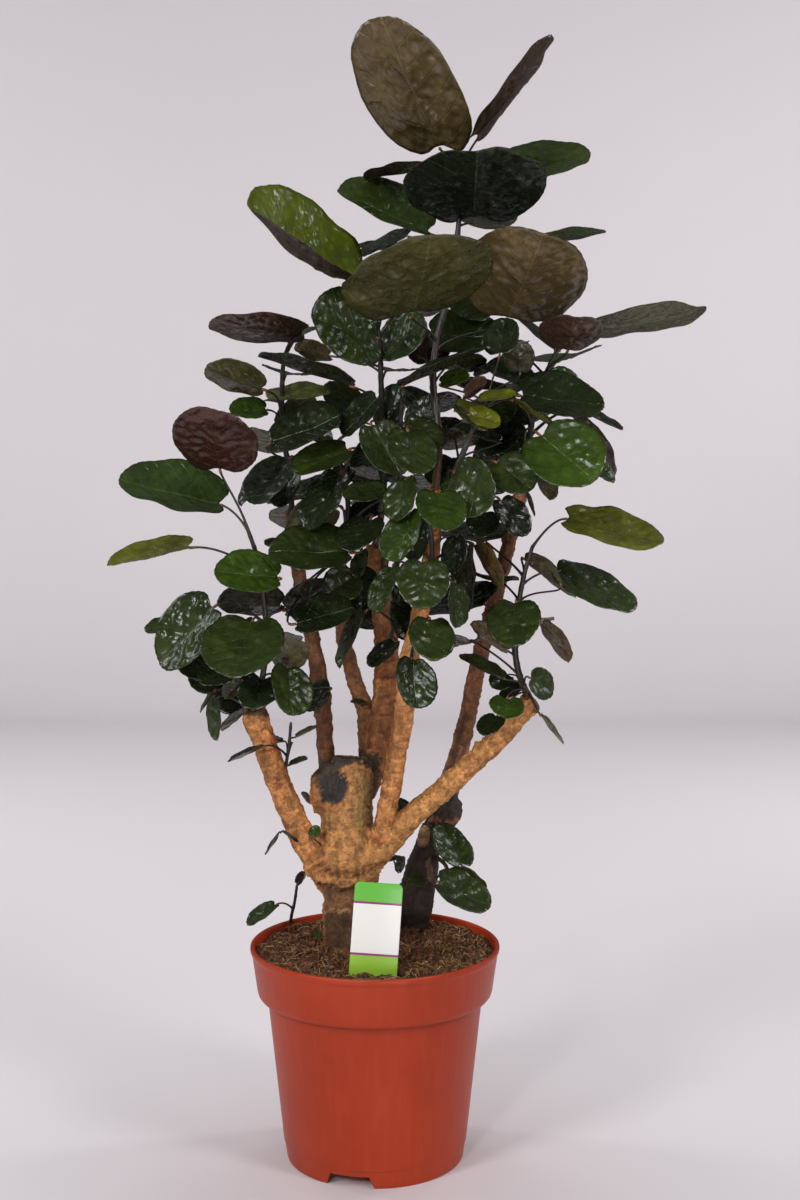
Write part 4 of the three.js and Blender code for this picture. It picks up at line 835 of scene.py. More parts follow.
# Each stem's leaves are placed by the first frame that its solid agrees with; one whose solid was left
# out for want of room is left out here too
leafFinishes = [makeLeafSkin(), makeStalkSkin()]
leafCount, leftOut = 0, 0
for stemIndex, (stem, rows) in enumerate(stemRows.items()):
    node = "leaves_" + stem
    corners = np.zeros(len(frame["nodes"][node].data.vertices) * 3)
    frame["nodes"][node].data.vertices.foreach_get("co", corners)
    corners = np.unique(np.round(corners.reshape(-1, 3) * 1000, 3), axis=0)
    axis = seen(*np.asarray(rows, float)[:, :3].T)
    wanted = []
    for plain, table in ((False, leafRows), (True, innerRows)):
        for row in table.get(stem, []):
            wanted.append(([frameFromView(row, shift, plain) for shift in shifts], row[8]))
    rule = hiddenLeaves.get(stem, {"count": 0})
    for i in range(rule["count"]):
        tone = behindTones[(i + stemIndex) % len(behindTones)]
        wanted.append(([frameFromRule(axis, rule, i, turn) for turn in turns], tone))
    surfaces = [leafyStem(rows)]
    for i, (places, tone) in enumerate(wanted):
        place = next((one for one in places if standsInSolid(one, corners)), None)
        if place is None:
            leftOut += 1
            continue
        seed = 1000 * (stemIndex + 1) + i
        root = place.get("root", None)
        root = rootOn(axis, place) if root is None else root
        surfaces += [leafBlade(place, tone, seed), leafStalk(place, root, seed)]
        leafCount += 1
    stand(makePiece(stem + "Leaves", surfaces, leafFinishes), node)
print("leaves made:", leafCount, "left out:", leftOut)

# Wood: pixel across, pixel down, depth, radius
firstTrunkRows = {
    "stump": [(350, 1010, 6, 25), (350, 955, 6, 25.5), (350, 920, 6, 25), (350, 911, 6, 26.5),
        (350, 900, 6, 25), (350, 878, 8, 28), (348, 855, 9, 27), (347, 825, 10, 25), (347, 795, 12, 25),
        (351, 772, 14, 22), (353, 757, 16, 17)],
    "shoulder": [(322, 812, 8, 8), (321, 796, 4, 11), (324, 780, 4, 11), (334, 768, 8, 9)],
    "left": [(345, 895, 6, 17), (322, 866, 2, 15), (302, 835, -4, 12.5), (286, 800, -8, 12),
        (272, 765, -12, 11.5), (262, 735, -16, 11), (257, 722, -18, 12.6), (253, 711, -19, 12)],
    "right": [(352, 874, 2, 17), (384, 846, -2, 13), (409, 819, -6, 11.4), (439, 793, -9, 10.6),
        (469, 766, -12, 10.3), (499, 738, -16, 9.8), (519, 716, -19, 9.6), (533, 700, -22, 11.2)],
    "spur": [(477, 760, -12, 5), (476, 748, -14, 4), (476, 740, -14, 2.2)],
    "front": [(381, 838, -6, 10.5), (389, 800, -14, 9.5), (396, 760, -20, 9.3), (404, 715, -26, 9.3),
        (409, 660, -30, 9), (420, 615, -34, 8.5), (428, 580, -38, 8), (433, 540, -40, 7.5),
        (435, 488, -40, 7)],
    "centre": [(364, 795, 20, 11), (377, 755, 30, 12), (384, 710, 34, 12.5), (387, 660, 36, 12),
        (384, 620, 36, 11), (378, 580, 36, 10), (375, 545, 36, 9.5)],
    "fork": [(368, 772, 34, 8), (366, 735, 42, 8.5), (366, 712, 46, 8.8), (359, 692, 48, 8),
        (351, 668, 50, 7.5), (344, 640, 52, 7.5), (340, 600, 52, 7), (338, 570, 52, 6.5)],
    "back": [(336, 800, 26, 9), (328, 770, 34, 8.7), (325, 740, 38, 8.5), (323, 712, 42, 8.5),
        (320, 685, 44, 9.4), (315, 655, 46, 8), (308, 620, 48, 7.5), (300, 580, 50, 7),
        (296, 545, 50, 7), (292, 509, 50, 7)],
}
secondTrunkRows = {
    "stump": [(408, 1000, 60, 14), (409, 945, 60, 15), (415, 905, 60, 18), (420, 878, 60, 17),
        (427, 850, 60, 13.5), (438, 826, 60, 14), (446, 812, 60, 16), (447, 799, 60, 12)],
    "spur": [(424, 842, 52, 6), (424, 832, 46, 5.5), (424, 828, 42, 5)],
    "branch": [(444, 806, 62, 11), (452, 775, 64, 9.5), (462, 740, 62, 9), (470, 705, 60, 8.5),
        (478, 665, 56, 8.5), (487, 630, 52, 8), (497, 590, 48, 7.8), (505, 560, 45, 7.5),
        (513, 525, 42, 7.2), (521, 492, 40, 7.2)],
}

woodForm = {
    "voxel": 0.0019, "easing": 5, "sides": 30, "step": 2.0,
    "lump": 0.5, "lumpSize": 15.0, "pebble": 0.42, "pebbleSize": 4.0, "grain": 0.32, "grainSize": 6.0,
    "ring": 0.6, "ringEvery": 14.0, "ringWide": 1.0, "grooveWide": 0.9,
    "mottleTint": 0.1, "grainTint": 0.09, "hollowShade": 0.22, "ringTint": 0.42,
}
# The tint of each branch; those further back, the centre, the fork and the back, are darker as painted shade
woodTints = {
    "stump": paint(170, 122, 72), "shoulder": paint(158, 108, 62), "left": paint(180, 122, 70),
    "right": paint(186, 132, 77), "spur": paint(150, 104, 64), "front": paint(184, 126, 74),
    "centre": paint(156, 102, 60), "fork": paint(132, 88, 54), "back": paint(118, 76, 48),
}
darkTints = {"stump": paint(48, 33, 25), "spur": paint(156, 130, 96), "branch": paint(134, 88, 58)}

# Marks on the wood as the picture shows them: a line of pixels, its half width in pixels, how far it
# stands out in millimetres, its colour and how much of it
woodMarks = [
    # painted highlight and shade on the folds where the branches leave the stump: lighter ridges, darker
    # grooves below them
    ([(303, 869), (322, 878), (345, 884), (362, 880), (379, 871)], 3.6, 3.4, paint(186, 132, 78), 0.7),
    ([(300, 874), (318, 886), (340, 893), (366, 889), (382, 880)], 2.6, -2.2, paint(84, 54, 31), 0.8),
    ([(336, 868), (352, 869), (372, 861), (392, 850)], 3.4, 2.8, paint(190, 136, 82), 0.7),
    ([(318, 867), (336, 876), (352, 878), (368, 872), (386, 862)], 2.0, -2.2, paint(92, 60, 34), 0.75),
    # painted shade in the hollow where the centre branch meets the stump
    ([(372, 757), (377, 764)], 6.0, -3.0, paint(60, 46, 36), 0.8),
    ([(325, 785), (334, 780), (341, 785), (335, 797), (328, 795)], 9.5, -1.8, paint(36, 34, 36), 1.0),
    ([(315, 778), (313, 790), (318, 803), (330, 809), (344, 803)], 2.4, 2.2, paint(164, 104, 58), 0.9),
    ([(320, 776), (329, 766), (342, 761), (358, 758), (371, 761)], 8.5, 0.9, paint(48, 44, 41), 0.95),
    ([(345, 770), (358, 766), (364, 774)], 4.0, -0.6, paint(196, 142, 84), 0.8),
    ([(364, 782), (364, 800), (360, 822)], 9.0, 0.0, paint(128, 112, 62), 0.6),
    ([(315, 908), (350, 904), (390, 906)], 22.0, 0.0, paint(100, 66, 36), 0.8),
    ([(320, 925), (350, 920), (384, 925), (380, 945), (350, 965), (322, 965), (320, 925)],
     16.0, 0.0, paint(80, 53, 30), 0.9),
    ([(350, 945), (350, 970)], 20.0, 0.0, paint(78, 52, 30), 0.9),
    ([(322, 912), (350, 911)], 1.6, 0.9, paint(168, 134, 90), 0.8),
    ([(250, 721), (266, 723)], 2.2, 1.2, paint(170, 116, 76), 0.5),
    ([(249, 712), (267, 713)], 4.2, 0.4, paint(58, 46, 38), 0.9),
    ([(271, 736), (275, 750)], 3.2, 0.7, paint(178, 84, 40), 0.7),
    ([(277, 776), (279, 788)], 2.6, 0.3, paint(104, 40, 30), 0.8),
    ([(528, 694), (537, 702), (536, 710)], 5.0, 0.6, paint(64, 50, 40), 0.9),
    ([(521, 700), (527, 706), (528, 716)], 1.6, 0.8, paint(200, 120, 60), 0.7),
    ([(421, 804), (429, 814)], 1.6, 0.9, paint(200, 156, 104), 0.6),
    ([(296, 812), (306, 806)], 1.4, 0.7, paint(196, 150, 98), 0.6),
    ([(371, 860), (384, 868), (396, 858)], 4.0, 1.0, paint(178, 122, 74), 0.5),
    # painted shade in the gap between the stump and the centre branch behind it
    ([(376, 770), (374, 800), (372, 826)], 4.0, -0.8, paint(46, 30, 22), 0.8),
    ([(471, 757), (480, 764)], 4.0, 1.2, paint(168, 112, 70), 0.5),
]
darkMarks = [
    ([(434, 806), (446, 800), (458, 806)], 9.0, 1.6, paint(54, 50, 48), 0.9),
    ([(432, 820), (445, 823), (459, 819)], 2.6, 1.2, paint(150, 98, 60), 0.8),
    ([(427, 831), (427, 836)], 2.4, 0.6, paint(186, 160, 120), 0.9),
    ([(428, 862), (431, 880)], 2.4, 0.3, paint(140, 112, 80), 0.7),
    ([(406, 890), (403, 925), (405, 965)], 9.0, 4.0, paint(50, 34, 26), 0.5),
    ([(405, 930), (415, 934)], 4.0, 1.4, paint(166, 118, 72), 0.8),
    ([(446, 785), (456, 750), (466, 715)], 3.4, 0.0, paint(74, 48, 36), 0.7),
    ([(518, 492), (524, 491)], 3.0, 0.4, paint(196, 120, 64), 0.8),
]


# Where a place is seen, in pixels
def pixelOf(points):
    off = points - eye
    far = off @ ahead
    return np.stack([view["middle"][0] + view["focal"] * (off @ aside) / far,
                     view["middle"][1] - view["focal"] * (off @ above) / far], axis=1)


# The distance in pixels from many points to a line of pixels
def fromLine(pixels, line):
    line = np.asarray(line, float)
    best = np.full(len(pixels), 1e9)
    for a, b in zip(line[:-1], line[1:]):
        ab = b - a
        t = np.clip((pixels - a) @ ab / (ab @ ab), 0, 1)
        best = np.minimum(best, np.linalg.norm(pixels - a - t[:, None] * ab, axis=1))
    return best


# Wood: round bars fused by a fine voxel mesh and eased, then every point is moved along its normal by
# soft lumps, lengthwise grain and rings in the branch's own measures, and by the marks that are seen
def makeWood(name, branches, tints, marks, finish, seed):
    bars, lines = [], []
    for key, rows in branches.items():
        rows = np.asarray(rows, float)
        places = seen(rows[:, 0], rows[:, 1], rows[:, 2])
        whole = np.linalg.norm(np.diff(places, axis=0), axis=1).sum()
        t = np.linspace(0, 1, max(int(whole / woodForm["step"]), 6))
        path = smoothPath(places, t)
        radii = np.interp(t * (len(rows) - 1), np.arange(len(rows)), rows[:, 3])
        radii[-1] *= 0.86
        bars.append(roundBar(path, radii, woodForm["sides"], np.array([0.0, 1.0, 0.0])))
        tangent = unit(np.gradient(path, axis=0))
        across = unit(np.array([0.0, 1.0, 0.0]) - tangent * tangent[:, 1:2])
        lines.append((path, radii, t * whole, tangent, across, tints[key]))
    raw = makePiece(name + "Raw", bars, [])
    fuse = raw.modifiers.new("fuse", "REMESH")
    fuse.mode, fuse.voxel_size = "VOXEL", woodForm["voxel"]
    easing = raw.modifiers.new("easing", "SMOOTH")
    easing.factor, easing.iterations = 0.5, woodForm["easing"]
    fused = bpy.data.meshes.new_from_object(raw.evaluated_get(bpy.context.evaluated_depsgraph_get()))
    count = len(fused.vertices)
    points, normals = np.zeros(count * 3), np.zeros(count * 3)
    fused.vertices.foreach_get("co", points)
    fused.vertex_normals.foreach_get("vector", normals)
    points, normals = points.reshape(-1, 3) * 1000, normals.reshape(-1, 3)

    path, radii, along, tangent, across = (np.concatenate([line[k] for line in lines]) for k in range(5))
    which = np.concatenate([np.full(len(line[0]), k) for k, line in enumerate(lines)])
    near = np.zeros(count, int)
    for first in range(0, count, 4000):
        block = slice(first, first + 4000)
        gap = np.linalg.norm(points[block, None] - path[None], axis=2) - radii
        near[block] = gap.argmin(axis=1)
    off = points - path[near]
    side = np.cross(tangent[near], across[near])
    spin = np.arctan2((off * side).sum(1), (off * across[near]).sum(1))
    run = along[near] + (off * tangent[near]).sum(1)
    branch = which[near]
    drawn = run * 0.18 + branch * 37.0  # the grain is drawn out along a branch, and each has its own
    around = np.stack([np.cos(spin) * radii[near], np.sin(spin) * radii[near], drawn], axis=1)
    push = woodForm["lump"] * hills(points, woodForm["lumpSize"], seed)
    push += woodForm["pebble"] * hills(points, woodForm["pebbleSize"], seed + 1, 14)
    grain = hills(around, woodForm["grainSize"], seed + 2, 14)
    push += woodForm["grain"] * grain
    bent = run + 1.6 * np.sin(spin + branch) + 3.0 * np.sin(run / 23 + branch)
    fromRing = (bent % woodForm["ringEvery"]) - woodForm["ringEvery"] / 2
    band = np.exp(-((fromRing / woodForm["ringWide"]) ** 2))
    band -= 0.7 * np.exp(-(((fromRing - 2.0) / woodForm["grooveWide"]) ** 2))
    band *= 0.35 + 0.65 * ease(hills(around, 18.0, seed + 3), -0.6, 0.6)
    push += woodForm["ring"] * band

    tint = np.stack([line[5] for line in lines])[branch]
    mottle = hills(points, 34.0, seed + 4)
    tint[:, :3] *= (1 + woodForm["mottleTint"] * mottle + woodForm["grainTint"] * grain)[:, None]
    # painted shade: the tint is darker where the surface sinks in, in the hollows of its lumps, grain and
    # ring grooves
    tint[:, :3] *= (1 - woodForm["hollowShade"] * np.clip(-push, 0, 1.2))[:, None]
    tint[:, :3] *= (1 + woodForm["ringTint"] * band)[:, None]
    facing = ease((normals * unit(eye - points)).sum(1), 0.02, 0.35)
    pixels = pixelOf(points)
    for line, halfWide, high, colour, much in marks:
        gap = fromLine(pixels + 2.6 * hills(points, 5.0, seed + 5)[:, None] * np.array([0.7, -0.7]), line)
        touch = (1 - ease(gap, 0.6 * halfWide, 1.15 * halfWide)) * facing
        push += high * touch
        tint[:, :3] += (colour[:3] - tint[:, :3]) * (much * touch)[:, None]
    tint[:, 3] = 1
    points = points + normals * push[:, None]
    fused.vertices.foreach_set("co", (points * 0.001).astype(np.float32).ravel())
    giveTint(fused, tint)
    wood = bpy.data.objects.new(name, fused)
    bpy.context.scene.collection.objects.link(wood)
    bpy.data.objects.remove(raw)
    fused.materials.clear()
    fused.materials.append(finish)
    fused.polygons.foreach_set("use_smooth", np.ones(len(fused.polygons), bool))
    fused.update()
    return wood


barkSkin = {
    "mottle": 130.0, "fleck": 520.0, "grain": 800.0, "crack": 260.0, "rough": (0.55, 0.8),
    "bump": 0.8, "bumpHigh": 0.0011,
}


# Bark: the tint, mottled, with dark flecks that lie across the branch and a fine rough grain
def makeBarkSkin(name, fleckColour, fleckMuch):
    material, add = startFinish(name)
    where = placeOnObject(add)
    cloud = noise(add, where, barkSkin["mottle"], 4.0, 0.65)
    flecks = noise(add, placeOnObject(add, (0.6, 0.6, 1.5)), barkSkin["fleck"], 2.5, 0.6)
    grain = noise(add, placeOnObject(add, (1.4, 1.4, 0.5)), barkSkin["grain"], 4.0, 0.7)
    drawn = {"Vector": placeOnObject(add, (1.0, 1.0, 0.35)), "Scale": barkSkin["crack"]}
    cracks = add("TexVoronoi", drawn, feature="DISTANCE_TO_EDGE")
    colour = add("Attribute", {}, attribute_name="tint")
    darker, lighter = dyed(add, colour, 0.56, 0.49, 0.42), dyed(add, colour, 1.42, 1.36, 1.2)
    colour = mixed(add, between(add, cloud, 0.32, 0.68), darker, lighter)
    colour = mixed(add, between(add, cracks, 0.0, 0.09, 0.35, 0.0), colour, darker)
    colour = mixed(add, between(add, flecks, 0.56, 0.68, 0.0, fleckMuch), colour, fleckColour)
    relief = counted(add, "ADD", counted(add, "MULTIPLY", grain, 0.55), counted(add, "MULTIPLY", cloud, 0.6))
    relief = counted(add, "ADD", relief, between(add, cracks, 0.0, 0.12, 0.0, 0.25))
    relief = counted(add, "SUBTRACT", relief, between(add, flecks, 0.55, 0.7, 0.0, 0.5))
    bump = add("Bump", {"Strength": barkSkin["bump"], "Distance": barkSkin["bumpHigh"], "Height": relief})
    closeFinish(add, colour, between(add, grain, 0.2, 0.8, *barkSkin["rough"]), bump)
    return material


tanBark = makeBarkSkin("tanBark", paint(92, 60, 34), 0.6)
darkBark = makeBarkSkin("darkBark", paint(26, 18, 15), 0.6)
first = makeWood("firstTrunk", firstTrunkRows, woodTints, woodMarks, tanBark, 11)
second = makeWood("secondTrunk", secondTrunkRows, darkTints, darkMarks, darkBark, 23)
stand(first, "trunk_first")
stand(second, "trunk_second")
print("wood fused and carved")

# Small dark leaves in the crown's shade, which only the scene has. Their places are spread evenly over
# ovals of the picture (pixels of the middle, half width, half height) and a range of depths
shadeForm = {
    "ovals": [(345, 468, 72, 72), (425, 448, 92, 55), (428, 560, 62, 82), (505, 420, 62, 42),
              (372, 560, 40, 60), (250, 655, 58, 52), (430, 330, 75, 30)],
    "tries": 260, "depth": (-30.0, 100.0), "length": (34.0, 54.0), "reach": (8.0, 75.0), "cell": 2.2,
    "around": 30.0, "hits": 0.02, "bare": 0.12, "tones": ("dark", "dark", "olive", "dark", "green"),
    "firstSeed": 9000, "tinySeed": 9900,
}


# The places of a piece's points, in millimetres
def pointsOf(piece):
    points = np.zeros(len(piece.data.vertices) * 3)
    piece.data.vertices.foreach_get("co", points)
    return points.reshape(-1, 3) * 1000


# Marks the cells of a grid, or the pixels of a picture, that hold these places
def mark(grid, places):
    grid[tuple(np.clip(places.astype(int), 0, np.array(grid.shape) - 1).T)] = True


# How much of these places is marked in a grid
def markedShare(grid, places):
    return grid[tuple(np.clip(places.astype(int), 0, np.array(grid.shape) - 1).T)].mean()


# Marks what lies beside a marked cell along each axis
def spreadMarks(grid):
    for axis in range(grid.ndim):
        grid |= np.roll(grid, 1, axis) | np.roll(grid, -1, axis)


# The frame of one try: its middle lies in the oval, and its upper face looks up and to the viewer. The
# way it runs is square to that.
def shadePlace(oval, step):
    f = shadeForm
    share = [(step * spread) % 1.0 for spread in spreads]
    far, turn = math.sqrt(share[0]), 2 * math.pi * share[1]
    depth = f["depth"][0] + (f["depth"][1] - f["depth"][0]) * share[2]
    px, py, across, tall = oval
    middle = seen(px + across * far * math.cos(turn), py + tall * far * math.sin(turn), depth)
    length = f["length"][0] + (f["length"][1] - f["length"][0]) * share[3]
    up = unit(np.array([0.9 * (share[4] - 0.5), -0.8, 0.35 + 0.9 * share[5]]))
    way = 2 * math.pi * share[4] * 3
    run = unit(np.cross(up, [math.cos(way), 0.3, math.sin(way)]))
    return {"start": middle - run * length * 0.5, "run": run, "up": up, "wide": np.cross(run, up),
            "length": length, **plainLeaf}


# A leaf is kept where its blade and stalk clear all else, where the view would show a gap behind it and
# where a stem is in reach
def shadeLeaves(pieces):
    f, surfaces = shadeForm, []
    corner = np.array(cadBox[0]) * 1000 - f["around"]
    room = np.zeros(((np.array(cadBox[1]) * 1000 + f["around"] - corner) / f["cell"]).astype(int), bool)
    shown = np.zeros((view["wide"], view["tall"]), bool)
    for piece in pieces:
        points = pointsOf(piece)
        mark(room, (points - corner) / f["cell"])
        mark(shown, pixelOf(points))
    spreadMarks(room)
    spreadMarks(shown)
    axes = [seen(*np.asarray(rows, float)[:, :3].T) for rows in stemRows.values()]
    u, v = (part.ravel() for part in np.meshgrid(np.linspace(-0.45, 0.45, 17), np.linspace(0.03, 0.98, 19)))
    inside = np.hypot(u / 0.47, (v - 0.5) / 0.5) < 1
    u, v = u[inside], v[inside]
    for k, oval in enumerate(f["ovals"]):
        for i in range(f["tries"]):
            place = shadePlace(oval, i + 1 + 31 * k)
            length = place["length"]
            blade = place["start"] + (v[:, None] * place["run"] + u[:, None] * place["wide"]) * length
            blade += leafHeight(place, u * length, v * length)[:, None] * place["up"]
            roots = np.array([rootOn(axis, place) for axis in axes])
            reach = np.linalg.norm(roots - place["start"], axis=1)
            root = roots[reach.argmin()]
            both = np.vstack([blade, stalkPath(place, root, np.linspace(0.35, 1, 16))])
            clear = markedShare(room, (both - corner) / f["cell"]) <= f["hits"]
            gap = 1 - markedShare(shown, pixelOf(blade)) >= f["bare"]
            if not clear or not gap or not f["reach"][0] < reach.min() < f["reach"][1]:
                continue
            seed = f["firstSeed"] + 100 * k + i
            leaf = leafBlade(place, f["tones"][i % len(f["tones"])], seed)
            surfaces += [leaf, leafStalk(place, root, seed)]
            mark(room, (leaf["points"] - corner) / f["cell"])
            mark(shown, pixelOf(leaf["points"]))
    print("small leaves in the shade:", len(surfaces) // 2)
    return surfaces


# A tiny leaf grows where its stalk's first pixel meets the same depth as its blade
def tinyLeaf(row, seed):
    place = frameFromView(row[2:], 0, False)
    root = seen(row[0], row[1], row[8] + 4)
    return [leafBlade(place, row[10], seed), leafStalk(place, root, seed)]


grown = [piece for piece in bpy.context.scene.objects if piece.name.endswith(("Leaves", "Trunk"))]
small = shadeLeaves(grown)
for i, row in enumerate(tinyLeaves):
    small += tinyLeaf(row, shadeForm["tinySeed"] + i)
small = makePiece("smallLeaves", small, leafFinishes)
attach(small, "root")

potForm = {
    "height": 208.4, "rim": 120.0, "rimLip": 5.0, "collarHigh": 49.8, "collarFoot": 112.5, "collarTop": 118.5,
    "wallTop": 103.0, "foot": 86.4, "wall": 2.4, "floor": 3.0, "pad": 55.0, "channel": 12.0, "sides": 160,
    "slots": 3, "slotFirst": -15.5, "slotTop": 38.0, "slotFoot": 46.0, "slotHigh": 12.0,
    "slotDeep": 22.0, "slotIn": 9.0, "sharpFrom": 35.0,
}


# An outline with its corners rounded: each corner gives way to a short curve between its two sides
def rounded(outline, radius, steps=4):
    p = np.asarray(outline, float)
    back, front = p[:-2] - p[1:-1], p[2:] - p[1:-1]
    backLong, frontLong = (np.linalg.norm(v, axis=1, keepdims=True) for v in (back, front))
    radius = np.asarray(radius, float)[:, None]
    a = p[1:-1] + back / backLong * np.minimum(radius, backLong * 0.45)
    b = p[1:-1] + front / frontLong * np.minimum(radius, frontLong * 0.45)
    t = np.linspace(0, 1, steps)[None, :, None]
    curve = a[:, None] * (1 - t) ** 2 + 2 * p[1:-1, None] * t * (1 - t) + b[:, None] * t**2
    return np.vstack([p[:1], curve.reshape(-1, 2), p[-1:]])


# A turned shape: an outline of radius and height carried round the upright axis, closed at its poles
def turned(outline, sides):
    angle = np.arange(sides) / sides * 2 * math.pi
    r, z = outline[1:-1, 0], outline[1:-1, 1]
    x, y = r[:, None] * np.cos(angle), r[:, None] * np.sin(angle)
    rings = np.stack([x, y, np.repeat(z[:, None], sides, 1)], -1)
    return closedRings(rings, [(0, 0, outline[0, 1]), (0, 0, outline[-1, 1])])


# The pot's outline from the middle of its underside, out, up, over the lip and down the inside: radius,
# height and how round the corner is
def potOutline():
    f = potForm
    top, step, inner, channel = f["height"], f["height"] - f["collarHigh"], f["wall"], f["channel"]
    foot, wallTop, pad = f["foot"], f["wallTop"], f["pad"]
    corners = [
        (pad, 0, 2), (pad + 5, channel - 2, 2), (foot - 7, channel - 2, 2), (foot - 3, 0, 1),
        (foot - 1, 0, 4), (foot + 1.4, 17, 0.7), (foot + 2.2, 17.6, 0.7), (wallTop, step - 5, 2),
        (wallTop, step + 0.6, 0.6), (f["collarFoot"], step + 1, 6),
        (f["collarTop"], top - f["rimLip"] - 2, 2), (f["rim"], top - f["rimLip"], 1.4),
        (f["rim"], top, 2.2), (f["collarTop"] - inner, top, 1.6),
        (f["collarFoot"] - inner, step + inner, 4), (wallTop - inner, step + inner - 2, 2),
        (foot - inner + 1.4, channel + 1, 3), (pad + 2, channel + 1, 2), (pad - 4, f["floor"], 2),
    ]
    outline = [(0, 0), *(corner[:2] for corner in corners), (0, f["floor"])]
    return rounded(outline, [corner[2] for corner in corners])


# The pot's finish: satin plastic, a little cloudy, with faint upright streaks from its mould
def makePotSkin():
    material, add = startFinish("terracottaPlastic")
    cloud = noise(add, placeOnObject(add), 9.0, 5.0, 0.6)
    streaks = noise(add, placeOnObject(add, (1.0, 1.0, 0.05)), 160.0, 3.0, 0.6)
    grain = noise(add, placeOnObject(add), 1400.0, 2.0, 0.5)
    scuffs = noise(add, placeOnObject(add, (1.0, 1.0, 0.25)), 300.0, 5.0, 0.75)
    height = add("SeparateXYZ", {0: placeOnObject(add)}, out=2)
    colour = mixed(add, between(add, cloud, 0.3, 0.7), paint(152, 45, 13), paint(164, 53, 19))
    colour = mixed(add, between(add, streaks, 0.45, 0.75, 0.0, 0.18), colour, paint(188, 74, 44))
    low = between(add, height, 0.0, 0.06, 1.0, 0.0)
    dust = counted(add, "MULTIPLY", between(add, scuffs, 0.6, 0.78, 0.0, 0.5), low)
    colour = mixed(add, dust, colour, paint(196, 140, 116))
    streaks, grain = counted(add, "MULTIPLY", streaks, 0.5), counted(add, "MULTIPLY", grain, 0.25)
    relief = counted(add, "ADD", streaks, grain)
    bump = add("Bump", {"Strength": 0.12, "Distance": 0.0006, "Height": relief})
    rough = between(add, cloud, 0.25, 0.75, 0.36, 0.46)
    closeFinish(add, colour, rough, bump, Specular_IOR_Level=0.3, Subsurface_Weight=0.04)
    return material


# The pot: its outline turned, less the slots at its foot
def makePot():
    f = potForm
    pot = makePiece("nurseryPot", [turned(potOutline(), f["sides"])], [makePotSkin()])
    low, high = f["slotFoot"] / 2 + 1, f["slotTop"] / 2
    outline = [(-low, -2), (low, -2), (high, f["slotHigh"]), (-high, f["slotHigh"])]
    blocks = []
    for i in range(f["slots"]):
        turn = math.radians(f["slotFirst"] + i * 360 / f["slots"])
        near, far = -(f["foot"] - f["slotIn"]), -(f["foot"] - f["slotIn"] + f["slotDeep"])
        block = np.array([(x, y, z) for y in (far, near) for x, z in outline])
        c, s = math.cos(turn), math.sin(turn)
        spin = np.array([(c, s, 0), (-s, c, 0), (0, 0, 1)])
        faces = [(0, 1, 2, 3), (7, 6, 5, 4), (0, 4, 5, 1), (1, 5, 6, 2), (2, 6, 7, 3), (3, 7, 4, 0)]
        blocks.append({"points": block @ spin, "quads": np.array(faces)})
    cutter = makePiece("slotCutter", blocks, [], smooth=False)
    cut = pot.modifiers.new("slots", "BOOLEAN")
    cut.operation, cut.object, cut.solver = "DIFFERENCE", cutter, "EXACT"
    mesh = bpy.data.meshes.new_from_object(pot.evaluated_get(bpy.context.evaluated_depsgraph_get()))
    pot.modifiers.clear()
    pot.data = mesh
    mesh.name = "nurseryPot"
    bpy.data.objects.remove(cutter)
    mesh.set_sharp_from_angle(angle=math.radians(f["sharpFrom"]))
    return pot


soilForm = {
    "level": 201.0, "bump": 1.6, "edge": 114.5, "rings": 60, "sides": 180, "strands": 2600, "chips": 1500,
    "spread": 110.0, "strandEdge": 112.5, "strandSteps": 5, "pale": 1.8,
    "dark": paint(38, 20, 11), "warm": paint(136, 82, 46), "fibre": paint(226, 178, 122),
    "fibreDark": paint(92, 54, 28), "chip": paint(168, 118, 74), "chipDark": paint(44, 26, 17),
}


# The soil's height: the solid's low ripple, with clods of several sizes, all lower near the pot's wall
def soilHeight(x, y):
    ripple = np.sin(x * 0.11 + 1) * np.cos(y * 0.13) + 0.6 * np.sin(x * 0.05 - y * 0.09)
    flat = np.stack([x, y], axis=-1)
    clods = 2.8 * hills(flat, 27.0, 5) + 2.8 * np.abs(hills(flat, 13.0, 6)) + 1.3 * hills(flat, 5.0, 8, 14)
    inner = 1 - 0.6 * ease(np.hypot(x, y), 80.0, 114.0)
    return np.minimum(soilForm["level"] + soilForm["bump"] * ripple + clods * inner, potForm["height"] - 2.0)


# Soil: rings of points at that height, and a closed underside down the pot's inner wall
def soilBody():
    f, p = soilForm, potForm
    step, low, wall = p["height"] - p["collarHigh"], p["channel"] + 1.3, p["wall"]
    r = np.linspace(0.5, f["edge"], f["rings"])
    angle = np.arange(f["sides"]) / f["sides"] * 2 * math.pi
    x, y = r[:, None] * np.cos(angle), r[:, None] * np.sin(angle)
    top = np.stack([x, y, soilHeight(x, y)], -1)[::-1]
    under = np.array([
        (p["pad"] - 4.3, p["floor"] + 0.3), (p["pad"] + 1.8, low), (p["foot"] - wall + 1, low),
        (p["wallTop"] - wall - 0.3, step + 0.7), (p["collarFoot"] - wall - 0.4, step + wall + 0.3),
    ])
    below = np.stack([under[:, 0, None] * np.cos(angle), under[:, 0, None] * np.sin(angle),
                      np.repeat(under[:, 1, None], f["sides"], 1)], -1)
    middle = soilHeight(np.zeros(1), np.zeros(1))[0]
    body = closedRings(np.concatenate([below, top]), [(0, 0, p["floor"] + 0.3), (0, 0, middle)])
    points = body["points"]
    # painted shade and light: the soil is darker in its hollows and warmer on its raised clods, over a mottle
    # of its own
    raised = (points[:, 2] - f["level"]) * 0.45 + 0.7 * hills(points, 6.0, 10) + 0.5 * hills(points, 16.0, 9)
    mix = ease(raised, -1.2, 2.6)[:, None]
    body["tint"] = f["dark"] * (1 - mix) + f["warm"] * mix
    return body


# One small shape's faces, repeated for n shapes of so many points each
def repeated(faces, n, size):
    return (np.array(faces)[None] + (np.arange(n) * size)[:, None, None]).reshape(n * len(faces), -1)


